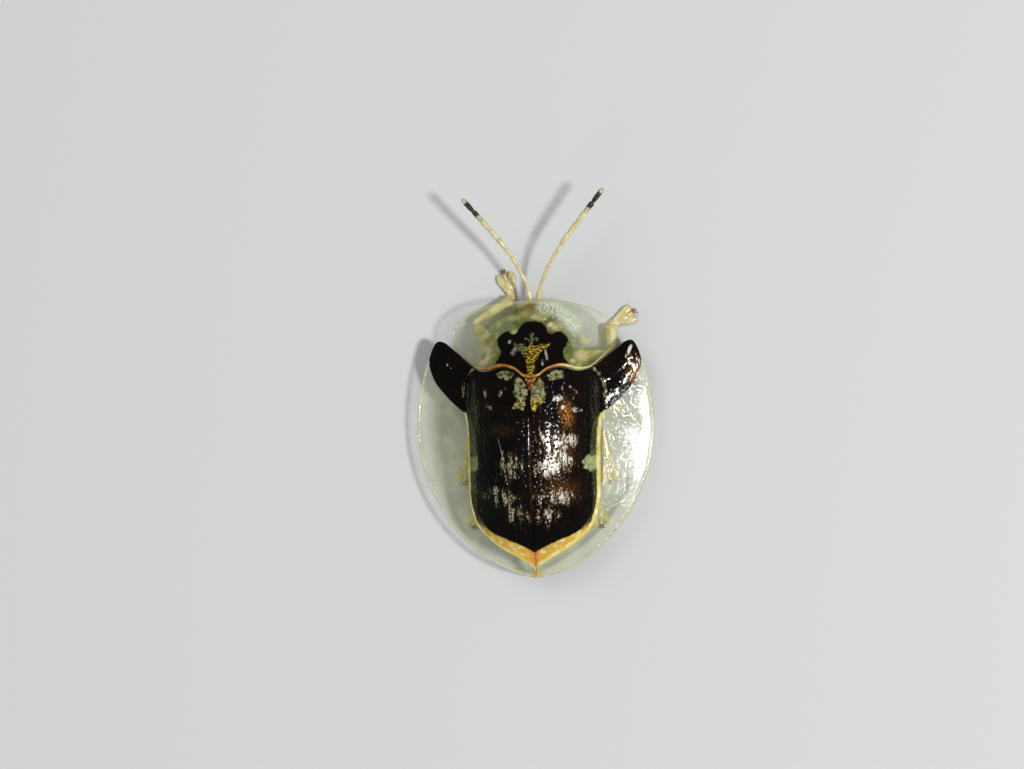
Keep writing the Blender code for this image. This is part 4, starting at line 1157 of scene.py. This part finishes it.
def foot(word, ankle, shin_way, toe, finishes, draw):
    """Three lobed pads, the slender claw joint between the last two lobes, and two dark claws."""
    heel = ankle + shin_way * 0.02
    heel[2] = FOOT_THICK * 0.55
    toe = np.array((toe[0], toe[1], FOOT_THICK * 0.40))
    ahead = unit(toe - heel)
    length = np.linalg.norm(toe - heel)
    side = np.array((-ahead[1], ahead[0], 0))
    forms = Heap()
    forms.add(*egg(heel + ahead * 0.03, (0.08, 0.07, 0.055), way=ahead))
    for share, aside, spread, height, radii in PADS:
        for turn in (1, -1):
            centre = heel + ahead * length * share + side * turn * aside
            centre[2] = height
            forms.add(*egg(centre, radii, way=unit(ahead + side * turn * spread)))
    middle = heel + ahead * length * 0.55
    middle[2] = 0.065
    forms.add(*egg(middle, (0.12, 0.09, 0.045), way=ahead))
    skin, skin_faces = fused(np.vstack(forms.corners), forms.faces, FOOT_VOXEL, FOOT_ROUNDS)
    skin[:, 2] = np.maximum(skin[:, 2], 0.002)
    heap = Heap()
    heap.add(skin, skin_faces)
    route = [middle + ahead * 0.02, middle + ahead * 0.16 + (0, 0, 0.035), toe + (0, 0, 0.03)]
    path, widths = limb_path(route, CLAW_JOINT, 16)
    heap.add(*tube(path, widths, widths * 0.9, 14, 0.004))
    for turn in (0.36, -0.36):
        way = unit(ahead + side * turn)
        root = path[-1] - ahead * 0.02
        tip = root + way * 0.115
        tip[2] = 0.006
        bend = root + way * 0.065
        bend[2] = root[2] + 0.012
        hook, hook_thick = limb_path([root, bend, tip], CLAW, 14)
        heap.add(*tube(hook, hook_thick, hook_thick * 1.2, 10, 0.002), finish=DARK_HORN)
    low = skin[skin[:, 2] < 0.05]
    picked = low[draw.integers(0, len(low), 420)]
    out = picked - (heel + ahead * ((picked - heel) @ ahead)[:, None])
    out[:, 2] = 0
    fringe = np.linalg.norm(out, axis=1) > 0.07
    picked, out = picked[fringe], out[fringe]
    ways = unit(out) + ahead * 0.5 + draw.normal(0, 0.2, out.shape)
    ways[:, 2] = draw.uniform(-0.15, 0.15, len(ways))
    picked[:, 2] = np.maximum(picked[:, 2], 0.014)
    hair, hair_faces = bristles(picked - ways * 0.01, ways, draw.uniform(0.03, 0.06, len(picked)), HAIR_THICK)
    hair[:, 2] = np.maximum(hair[:, 2], 0.001)
    heap.add(hair, hair_faces, finish=HAIR)
    top = skin[skin[:, 2] > 0.06]
    roots = top[draw.integers(0, len(top), 110)]
    ways = ahead * 0.9 + np.array((0, 0, 0.45)) + draw.normal(0, 0.2, roots.shape)
    heap.add(*bristles(roots, ways, draw.uniform(0.04, 0.075, len(roots)), HAIR_THICK), finish=HAIR)
    heap.piece(f"foot_{word}", finishes, [f"leg_{word}_tarsus"], "limb_amber")


def leg(word, finishes, draw):
    """Thigh with its ring at the hip, ridged shin with a fringed end, and foot."""
    side, (hip, knee, ankle, toe) = LEGS[word]
    flip = np.array((side, 1, 1))
    hip = np.array((*hip, LIMB_HEIGHT)) * flip
    knee = np.array((*knee, LIMB_HEIGHT + 0.01)) * flip
    ankle = np.array((*ankle, FOOT_THICK + 0.02)) * flip
    toe = np.array((*toe, 0)) * flip
    middle = (hip + knee) / 2 + np.array((side * 0.05, 0, 0))
    thigh = Heap()
    path, widths = limb_path([hip, middle, knee], THIGH, 44)
    form = tube(path, widths, widths * 0.9, 30)
    thigh.add(*form)
    ring_way = unit(hip - middle)
    thigh.add(*egg(hip + ring_way * 0.015 + np.array((0, 0, 0.02)), (0.10, 0.115, 0.105), way=ring_way))
    skin_hairs(thigh, form, draw, 150, 0.05, unit(knee - hip) * 0.9, HAIR_THICK, HAIR)
    thigh.piece(f"thigh_{word}", finishes, [f"leg_{word}_femur"], "limb_amber")
    thigh_way = unit(knee - middle)
    turned = np.linalg.norm(np.cross(thigh_way, unit(ankle - knee)))
    start = knee + thigh_way * (TIBIA_THICK * 0.22 * turned)
    shin = Heap()
    path, widths = limb_path([start, (start + ankle) / 2, ankle], SHIN, 40)
    form = tube(path, widths, widths * 0.85, 32, None, 8, 0.035)
    shin.add(*form)
    along = unit(ankle - start)
    skin_hairs(shin, form, draw, 130, 0.055, along * 0.9, HAIR_THICK, HAIR)
    near_end = ankle - along * 0.12

    def fringe(roots):
        return (roots - near_end) @ along > 0

    skin_hairs(shin, form, draw, 260, 0.06, along * 1.4, 0.007, HAIR, fringe)
    shin.piece(f"shin_{word}", finishes, [f"leg_{word}_tibia"], "limb_amber")
    foot(word, ankle, along, toe, finishes, draw)


# Each feeler's route from its socket, the lengths of its eleven joints and the swell along a joint
FEELER_THICK = 0.110
FEELERS = {
    "left": (
        (0.07, -1.70, 0.49), (0.11, -1.94, 0.53), (0.18, -2.17, 0.62), (0.29, -2.39, 0.72),
        (0.45, -2.68, 0.83), (0.64, -2.94, 0.91), (0.90, -3.25, 0.98), (1.43, -3.85, 1.06),
    ),
    "right": (
        (0.07, -1.70, 0.49), (0.11, -1.94, 0.53), (0.18, -2.16, 0.62), (0.28, -2.39, 0.72),
        (0.41, -2.61, 0.82), (0.55, -2.83, 0.90), (0.74, -3.10, 0.97), (1.15, -3.62, 1.05),
        (1.48, -4.04, 1.10),
    ),
}
FEELER_JOINTS = (0.26, 0.15, 0.22, 0.22, 0.22, 0.21, 0.25, 0.26, 0.25, 0.24, 0.34)
FIRST_CLUB_JOINT = 6
HALF_BLACK_JOINT = 9
SWELL_SHARES = (0, 0.05, 0.15, 0.45, 0.75, 0.88, 0.97, 1.0)
JOINT_SWELL = (0.36, 0.66, 0.78, 0.90, 0.98, 1.0, 0.86, 0.40)
LAST_JOINT_SWELL = (0.28, 0.55, 0.80, 0.94, 0.92, 0.72, 0.42, 0.10)


def feeler(side, word, finishes, draw):
    """One antenna: eleven joints that swell towards their far ends, downy along the club."""
    fine = smooth_path([(side * x, y, z) for x, y, z in FEELERS[word]], 500)
    steps = np.linspace(0, 1, len(fine))
    shares = (1 - np.cos(np.linspace(0, math.pi, 18))) / 2
    heap = Heap()
    start = 0.0
    for k, length in enumerate(FEELER_JOINTS):
        club = k >= FIRST_CLUB_JOINT
        last = k == len(FEELER_JOINTS) - 1
        thick = FEELER_THICK * (1.05 if k == 0 else 0.96 if club else 0.74)
        widths = thick * np.interp(shares, SWELL_SHARES, LAST_JOINT_SWELL if last else JOINT_SWELL)
        places = np.clip((start + (shares * 1.04 - 0.02) * length) / sum(FEELER_JOINTS), 0, 1)
        places = places + 1e-5 * np.arange(len(places))
        path = np.column_stack([np.interp(places, steps, fine[:, n]) for n in range(3)])
        path[-1] += (path[-2] - path[-3]) * 0.01
        along = unit(path[-1] - path[0])
        form = tube(path, widths, widths, 18)
        heap.add(*form)
        hair = HAIR
        if k >= HALF_BLACK_JOINT:
            reach = (form[0][[face[0] for face in form[1]]] - path[0]) @ along
            black = reach < 0.74 * length if last else reach > 0.55 * length
            heap.finish[-len(black) :] = black.astype(int).tolist()
            hair = DARK_HAIR
        skin_hairs(heap, form, draw, 330 if club else 60, 0.034, along * 1.1, 0.0055, hair)
        start += length
    heap.add(*egg(fine[-1] - along * 0.02, (0.035, 0.022, 0.022), 14, 10, along))
    heap.piece(f"feeler_{word}", finishes, [f"antenna_{word}"], "limb_amber")


HEAD_CENTRE = np.array((0.0, -1.40, 0.50))
HEAD_RADII = np.array((0.41, 0.31, 0.29))
HEAD_BACK_Y = -1.17
HEAD_SIDE_X = 0.33
EYE_RADII = (0.13, 0.20, 0.19)
EYE_FACETS = 900
SOCKET_X = 0.07


def head(finishes, draw):
    """The head capsule: flat back, bulging brow, grooved forehead, face plate and feeler sockets."""
    corners, faces = egg(HEAD_CENTRE, HEAD_RADII[[1, 0, 2]], 130, 90, (0, -1, 0))
    local = corners - HEAD_CENTRE
    x, y, z = local.T
    front = np.clip(-y / HEAD_RADII[1], 0, 1)
    groove = ridge(x, 0.018) * ramp(z, 0.02, 0.08)
    brow = bell(np.abs(x), z, (0.13, 0.10), (0.08, 0.09))
    plate_edge = np.abs(x) - (0.17 - 0.9 * np.clip(0.02 + z, -0.2, 0.14))
    face = ridge(plate_edge, 0.014) * (z < 0.07) * (z > -0.20)
    shift = 0.020 * brow - 0.016 * groove - 0.012 * face
    for side in (1, -1):
        socket = np.hypot(x - side * SOCKET_X, z + 0.01)
        shift += 0.018 * ridge(socket - 0.075, 0.018) - 0.030 * ridge(socket, 0.055)
    shift = shift * front - 0.006 * pits(x, z, 0.05, 0.045, 0.016, 51) * ramp(front, 0.35, 0.3)
    local = local + unit(local) * shift[:, None]
    local[:, 1] = np.minimum(local[:, 1], HEAD_BACK_Y - HEAD_CENTRE[1])
    local[:, 0] = np.clip(local[:, 0], -HEAD_SIDE_X - 0.03, HEAD_SIDE_X + 0.03)
    corners = HEAD_CENTRE + local
    heap = Heap()
    heap.add(corners, faces)

    def in_front(roots):
        return roots[:, 1] < -1.5

    skin_hairs(heap, (corners, faces), draw, 260, 0.035, (0, -0.2, -0.6), 0.005, BODY_HAIR, in_front)
    heap.add(*egg(HEAD_CENTRE + (0, -0.25, -0.17), (0.14, 0.05, 0.05), 30, 20, (1, 0, 0)))

    def pale(points):
        away = points - HEAD_CENTRE
        return 0.8 * ramp(-away[:, 1], 0.12, 0.12) * np.clip((0.12 - np.abs(away[:, 2] - 0.02)) / 0.08, 0, 1)

    heap.piece("head_capsule", finishes, ["head"], "body_brown", pale)


def eye(side, word, finish):
    """One eye of close round facets, set against the side of the head."""
    centre = np.array((side * (HEAD_SIDE_X + 0.02), HEAD_CENTRE[1] - 0.01, HEAD_CENTRE[2] + 0.02))
    corners, faces = egg((0, 0, 0), (1, 1, 1), 150, 110, (1, 0, 0))
    k = np.arange(EYE_FACETS) + 0.5
    tilt = np.arccos(1 - 2 * k / EYE_FACETS)
    turn = math.pi * (1 + 5**0.5) * k
    facets = np.column_stack([np.cos(tilt), np.sin(tilt) * np.cos(turn), np.sin(tilt) * np.sin(turn)])
    nearest = np.arccos(np.clip(np.max(corners @ facets.T, axis=1), -1, 1))
    bulge = np.clip(1 - nearest / 0.068, 0, 1) ** 0.7
    heap = Heap()
    heap.add(corners * (1 + 0.035 * bulge)[:, None] * np.array(EYE_RADII) + centre, faces)
    heap.piece(f"eye_{word}_facets", [finish], [f"eye_{word}"], "eye_black")


# Each side's palps: root beside the mouth, reach and thickness, and their steps from the root
PALPS = [((0.11, -0.03, -0.06), 1.0, 0.07), ((0.05, 0.06, -0.08), 0.62, 0.055)]
PALP_STEPS = [(0, 0, 0), (0.07, -0.07, -0.03), (0.07, -0.16, -0.045), (0.04, -0.23, -0.05)]


def mouth(finishes, draw):
    """Two toothed jaws, the lower lip and four jointed palps under the head."""
    x, y, z = HEAD_CENTRE
    roof = z - HEAD_RADII[2] + 0.04
    heap = Heap()
    heap.add(*egg((x, y - 0.06, roof - 0.04), (0.13, 0.17, 0.075), 30, 20, (0, -1, 0)))
    heap.add(*egg((x, y + 0.05, roof - 0.035), (0.07, 0.10, 0.06), 24, 16, (0, -1, 0)))
    for side in (1, -1):
        flip = np.array((side, 1, 1))
        jaw = np.array((x + side * 0.12, y - 0.06, roof - 0.06))
        route = [jaw, jaw + (side * 0.02, -0.08, -0.03), jaw + (-side * 0.07, -0.13, -0.05)]
        path, widths = limb_path(route, JAW, 20)
        heap.add(*tube(path, widths, widths * 0.8, 16), finish=DARK_HORN)
        for root, reach, thick in PALPS:
            begin = np.array((x, y, roof)) + flip * root
            fine = smooth_path([begin + flip * step * reach for step in np.array(PALP_STEPS)], 120)
            for joint in range(4):
                stretch = fine[joint * 30 : joint * 30 + 31]
                path, widths = limb_path(stretch[::6], PALP_JOINT, 12)
                widths = widths * thick * (1.0 if joint < 3 else 0.85)
                form = tube(path, widths, widths, 14)
                heap.add(*form)
                skin_hairs(heap, form, draw, 14, 0.03, unit(stretch[-1] - stretch[0]), 0.004, HAIR)
    for corners in heap.corners:
        corners[:, 2] = np.maximum(corners[:, 2], 0.08)
    heap.piece("mouth_and_palps", finishes, ["mouthparts"], "limb_amber")


BELLY_HEIGHT = 0.46
BELLY_RISE = 0.22
BODY_SINK = 0.19
BODY_GAP = 0.01
PROTHORAX_BACK_Y = -0.20
PROTHORAX_HALF_WIDTH = 0.92
ABDOMEN_START_Y = 1.36
ABDOMEN_TAPER_Y = 2.40
ABDOMEN_END_Y = 3.46
ABDOMEN_JOINTS = (0.0, 0.26, 0.42, 0.57, 0.72, 1.0)
PLATE_STEP = 0.03
COXA_X = 0.40
COXA_HEIGHT = 0.36
COXA_RADII = (0.17, 0.15, 0.17)
COXA_HOLLOW = 0.21
FRONT_COXA_Y = -0.52
MIDDLE_COXA_Y = 0.42
HIND_COXA_Y = 1.08


def body_half_width(y):
    """Half the width of the underside at each y."""
    chest_share = (y - PROTHORAX_BACK_Y) / (PROTHORAX_BACK_Y - HEAD_BACK_Y + 0.25)
    chest = PROTHORAX_HALF_WIDTH * np.sqrt(np.clip(1 - chest_share**2, 0, 1))
    dy = y - SHIELD_CENTRE_Y
    share = np.minimum(0.98, np.abs(dy) / np.where(dy >= 0, FOOT_REAR_REACH, FOOT_FRONT_REACH))
    half = 0.90 * FOOT_HALF_WIDTH * (1 - share**FOOT_POWER) ** (1 / FOOT_POWER)
    narrowed = ramp(y, ABDOMEN_TAPER_Y, ABDOMEN_END_Y + 0.03 - ABDOMEN_TAPER_Y)
    return np.where(y < PROTHORAX_BACK_Y, chest, half * np.sqrt(1 - narrowed**2))


def body_form(ys, relief):
    """A closed length of the underside; relief(share, x, y) is how far its skin sinks in."""
    half = body_half_width(ys)[:, None]
    above = np.linspace(-1, 1, 30)[None, :]
    below = np.linspace(0.985, -0.985, 90)[None, :]
    top = shield_surface(half * above, ys[:, None] * np.ones_like(above), -BODY_SINK)
    x = half * below
    y = ys[:, None] * np.ones_like(below)
    height = BELLY_HEIGHT + BELLY_RISE * np.abs(below) ** 2.5 + relief(np.abs(below), x, y)
    rings = np.concatenate([top, np.stack([x, y, height], -1)], axis=1)
    ends = np.array([rings[0].mean(axis=0), rings[-1].mean(axis=0)])
    return np.vstack([rings.reshape(-1, 3), ends]), wrap_faces(len(ys), rings.shape[1])


def body_piece(name, ys, relief, pale, coxa_rows, finishes, nodes, draw):
    """One length of the underside with its hip bulbs and sparse down."""
    form = body_form(ys, relief)
    heap = Heap()
    heap.add(*form)
    for y in coxa_rows:
        for side in (1, -1):
            heap.add(*egg((side * COXA_X, y, COXA_HEIGHT), COXA_RADII, 40, 28, (0, 1, 0.001)))

    def below(roots):
        return roots[:, 2] < BELLY_HEIGHT + 0.15

    skin_hairs(heap, form, draw, 420, 0.06, (0, 0.5, -0.4), HAIR_THICK, BODY_HAIR, below)
    heap.piece(name, finishes, nodes, "body_brown", pale)


def hip_hollows(x, y, coxa_rows, width):
    """Ring-shaped hollows around the hips."""
    hollow = 0.0
    for coxa_y in coxa_rows:
        for side in (1, -1):
            hollow = hollow + ridge(np.hypot(x - side * COXA_X, y - coxa_y) - COXA_HOLLOW, width)
    return hollow


def chest_relief(share, x, y):
    """Spine, hip hollows and side grooves of the fore body."""
    spine = -0.03 * ridge(x, 0.10) * ramp(y, -0.95, 0.2)
    return spine + 0.035 * hip_hollows(x, y, [FRONT_COXA_Y], 0.035) + 0.02 * ridge(share - 0.72, 0.03)


def trunk_relief(share, x, y):
    """Middle groove, hip hollows and seams of the middle body."""
    middle = 0.025 * ridge(x, 0.018) * ramp(y, 0.5, 0.1) * ramp(-y, -1.2, 0.1)
    seam = 0.024 * ridge(y - 0.30 - 0.10 * share, 0.016)
    second = 0.024 * ridge(y - 1.14 + 0.06 * share, 0.016) * (np.abs(x) > 0.58)
    side_seam = 0.024 * ridge(share - 0.78, 0.018)
    return middle + 0.032 * hip_hollows(x, y, [MIDDLE_COXA_Y, HIND_COXA_Y], 0.03) + seam + second + side_seam


def belly_relief(share, x, y):
    """Five plates that overlap like tiles, with dimples at their sides."""
    edges = ABDOMEN_START_Y + np.array(ABDOMEN_JOINTS) * (ABDOMEN_END_Y - ABDOMEN_START_Y)
    step = np.zeros_like(y)
    for begin, end in zip(edges[:-1], edges[1:]):
        along = (y - begin) / (end - begin)
        step = np.where((y >= begin) & (y < end), PLATE_STEP * along + 0.018 * ridge(along, 0.06), step)
    return step + 0.016 * ridge(share - 0.80, 0.05)


def belly_edge(points):
    """The pale rim of the belly."""
    return 0.85 * ramp(np.abs(points[:, 0]) / np.maximum(body_half_width(points[:, 1]), 0.05), 0.78, 0.15)


def underside(finishes, draw):
    """Fore body, middle body and the five belly plates."""
    fore = np.linspace(HEAD_BACK_Y + 0.03, PROTHORAX_BACK_Y - BODY_GAP, 70)
    middle = np.linspace(PROTHORAX_BACK_Y + BODY_GAP, ABDOMEN_START_Y - BODY_GAP, 110)
    belly = np.linspace(ABDOMEN_START_Y, ABDOMEN_END_Y, 150)
    middle_hips = (MIDDLE_COXA_Y, HIND_COXA_Y)
    body_piece("fore_body", fore, chest_relief, None, (FRONT_COXA_Y,), finishes, ["prothorax"], draw)
    body_piece("middle_body", middle, trunk_relief, None, middle_hips, finishes, ["thorax"], draw)
    body_piece("belly_plates", belly, belly_relief, belly_edge, (), finishes, ["abdomen"], draw)


def scutellum(finish):
    """The small three-cornered plate between the wing cases."""
    share = np.linspace(0, 1, 40)[:, None]
    spread = np.linspace(-1, 1, 33)[None, :]
    half = SCUTELLUM_HALF_WIDTH * (1 - share) ** 0.8 + 0.004
    x = half * spread
    y = np.broadcast_to(SCUTELLUM_FRONT_Y + SCUTELLUM_LONG * share, x.shape)
    drop = edge_drop(np.minimum(half * (1 - np.abs(spread)), SCUTELLUM_LONG * (1 - share)), 0.02)
    top = shield_surface(x, y, -0.006 - drop + 0.01 * (1 - share))
    corners, faces = closed_plate(top, shield_surface(x, y, -SCUTELLUM_THICK))
    add_piece("scutellum_plate", corners, faces, [finish], ["scutellum"], None, WELD)


FLOOR_HALF_WIDTH = 0.35

# Soft lamps: place and size in millimetres, power, and the rays that do not meet them
LAMPS = {
    "key": ((-76, 14, 108), 20, 0.13, []),
    "side": ((-112, 12, 78), 14, 0.03, ["visible_diffuse"]),
    "wide": ((60, -70, 110), 90, 0.055, ["visible_glossy"]),
    "back": ((40, 110, 70), 60, 0.03, ["visible_glossy"]),
}


def soft_lamp(name, place, size, power, unseen):
    """A round soft lamp that faces the beetle."""
    data = bpy.data.lights.new(name, "AREA")
    data.shape = "DISK"
    data.size = size * MM
    data.energy = power
    lamp = bpy.data.objects.new(name, data)
    lamp.location = Vector(place) * MM
    bpy.context.scene.collection.objects.link(lamp)
    lamp.rotation_mode = "QUATERNION"
    target = Vector((0, SHIELD_CENTRE_Y * MM, MM))
    lamp.rotation_quaternion = (target - lamp.location).to_track_quat("-Z", "Y")
    for ray in unseen:
        setattr(lamp, ray, False)


def studio():
    """Pale floor, a small key lamp from the beetle's right, wide soft lamps and a pale surround."""
    mesh = bpy.data.meshes.new("floor")
    turns = ((-1, -1), (1, -1), (1, 1), (-1, 1))
    mesh.from_pydata([(FLOOR_HALF_WIDTH * x, FLOOR_HALF_WIDTH * y, 0) for x, y in turns], [], [(0, 1, 2, 3)])
    mesh.materials.append(Finish("floor_paper", 0.85, Base_Color=colour(0.60, 0.61, 0.60)).material)
    floor = bpy.data.objects.new("floor", mesh)
    bpy.context.scene.collection.objects.link(floor)
    floor.visible_glossy = False
    for name, lamp in LAMPS.items():
        soft_lamp(name, *lamp)
    world = bpy.data.worlds.new("surround")
    world.use_nodes = True
    sky = Shading(world.node_tree)
    ray = sky.node("ShaderNodeLightPath").outputs
    seen = sky.blend(ray["Is Camera Ray"], colour(0.24, 0.25, 0.26), colour(0.70, 0.71, 0.70))
    seen = sky.blend(ray["Is Glossy Ray"], seen, colour(0.035, 0.045, 0.04))
    sky.feed(world.node_tree.nodes["Background"].inputs["Color"], seen)
    bpy.context.scene.world = world
    bpy.context.scene.view_settings.view_transform = "Standard"


# The photograph's view, in its 1024 x 769 frame
PHOTO_WIDTH = 1024
MM_PER_PIXEL = 0.0208
CAMERA_DISTANCE = 80.0
CAMERA_LEAN = math.radians(4.3)
CAMERA_ROLL = math.radians(0.54)
VIEW_CENTRE = (0.485, -0.02, 0.45)


def camera():
    """A camera that looks down on the back, leaning a little to the beetle's right."""
    data = bpy.data.cameras.new("camera")
    data.sensor_width = 36.0
    data.lens = data.sensor_width * CAMERA_DISTANCE / (PHOTO_WIDTH * MM_PER_PIXEL)
    data.clip_start = 0.002
    data.clip_end = 2.0
    thing = bpy.data.objects.new("camera", data)
    bpy.context.scene.collection.objects.link(thing)
    back = Vector((-math.sin(CAMERA_LEAN), 0, math.cos(CAMERA_LEAN)))
    up = Vector((0, -1, 0))
    right = up.cross(back).normalized()
    turned_up = (up * math.cos(CAMERA_ROLL) + right * math.sin(CAMERA_ROLL)).normalized()
    turned_right = turned_up.cross(back).normalized()
    place = Vector(VIEW_CENTRE) * MM + back * CAMERA_DISTANCE * MM
    turned = Matrix((turned_right, turned_up, back)).transposed().to_4x4()
    thing.matrix_world = Matrix.Translation(place) @ turned
    bpy.context.scene.camera = thing


studio()
camera()
case_black = wing_case_finish()
clear_brim = brim_finish()
pronotum_disc = pronotum_finish("pronotum_disc", IOR=1.55)
pronotum_clear = pronotum_finish("pronotum_clear", IOR=CLEAR_IOR, Specular_IOR_Level=CLEAR_GLOSS)
straw = limb_finish("limb_straw", colour(0.66, 0.56, 0.24), colour(0.80, 0.74, 0.44))
claw_brown = limb_finish("claw_brown", colour(0.36, 0.14, 0.035), colour(0.12, 0.04, 0.012), 0.2)
club_black = limb_finish("club_black", colour(0.018, 0.014, 0.012), colour(0.07, 0.05, 0.035), 0.4)
pale_hair = hair_finish("pale_hair", colour(0.80, 0.70, 0.42), colour(0.92, 0.88, 0.70))
dark_hair = hair_finish("dark_hair", colour(0.07, 0.05, 0.035), colour(0.30, 0.24, 0.16))
head_brown = body_finish("head_brown", colour(0.10, 0.04, 0.014), colour(0.34, 0.17, 0.05))
underside_brown = body_finish("underside_brown", colour(0.028, 0.014, 0.008), colour(0.11, 0.045, 0.018))
eye_facets = eye_finish()
draw = np.random.default_rng(17)
for side, word in ((1, "left"), (-1, "right")):
    wing_case(side, word, case_black)
    brim(side, word, clear_brim)
    feeler(side, word, [straw, club_black, pale_hair, dark_hair], draw)
    eye(side, word, eye_facets)
pronotum([pronotum_disc, pronotum_clear])
scutellum(scutellum_finish())
head([head_brown, pale_hair], draw)
mouth([straw, claw_brown, pale_hair], draw)
underside([underside_brown, pale_hair], draw)
for word in LEGS:
    leg(word, [straw, claw_brown, pale_hair], draw)
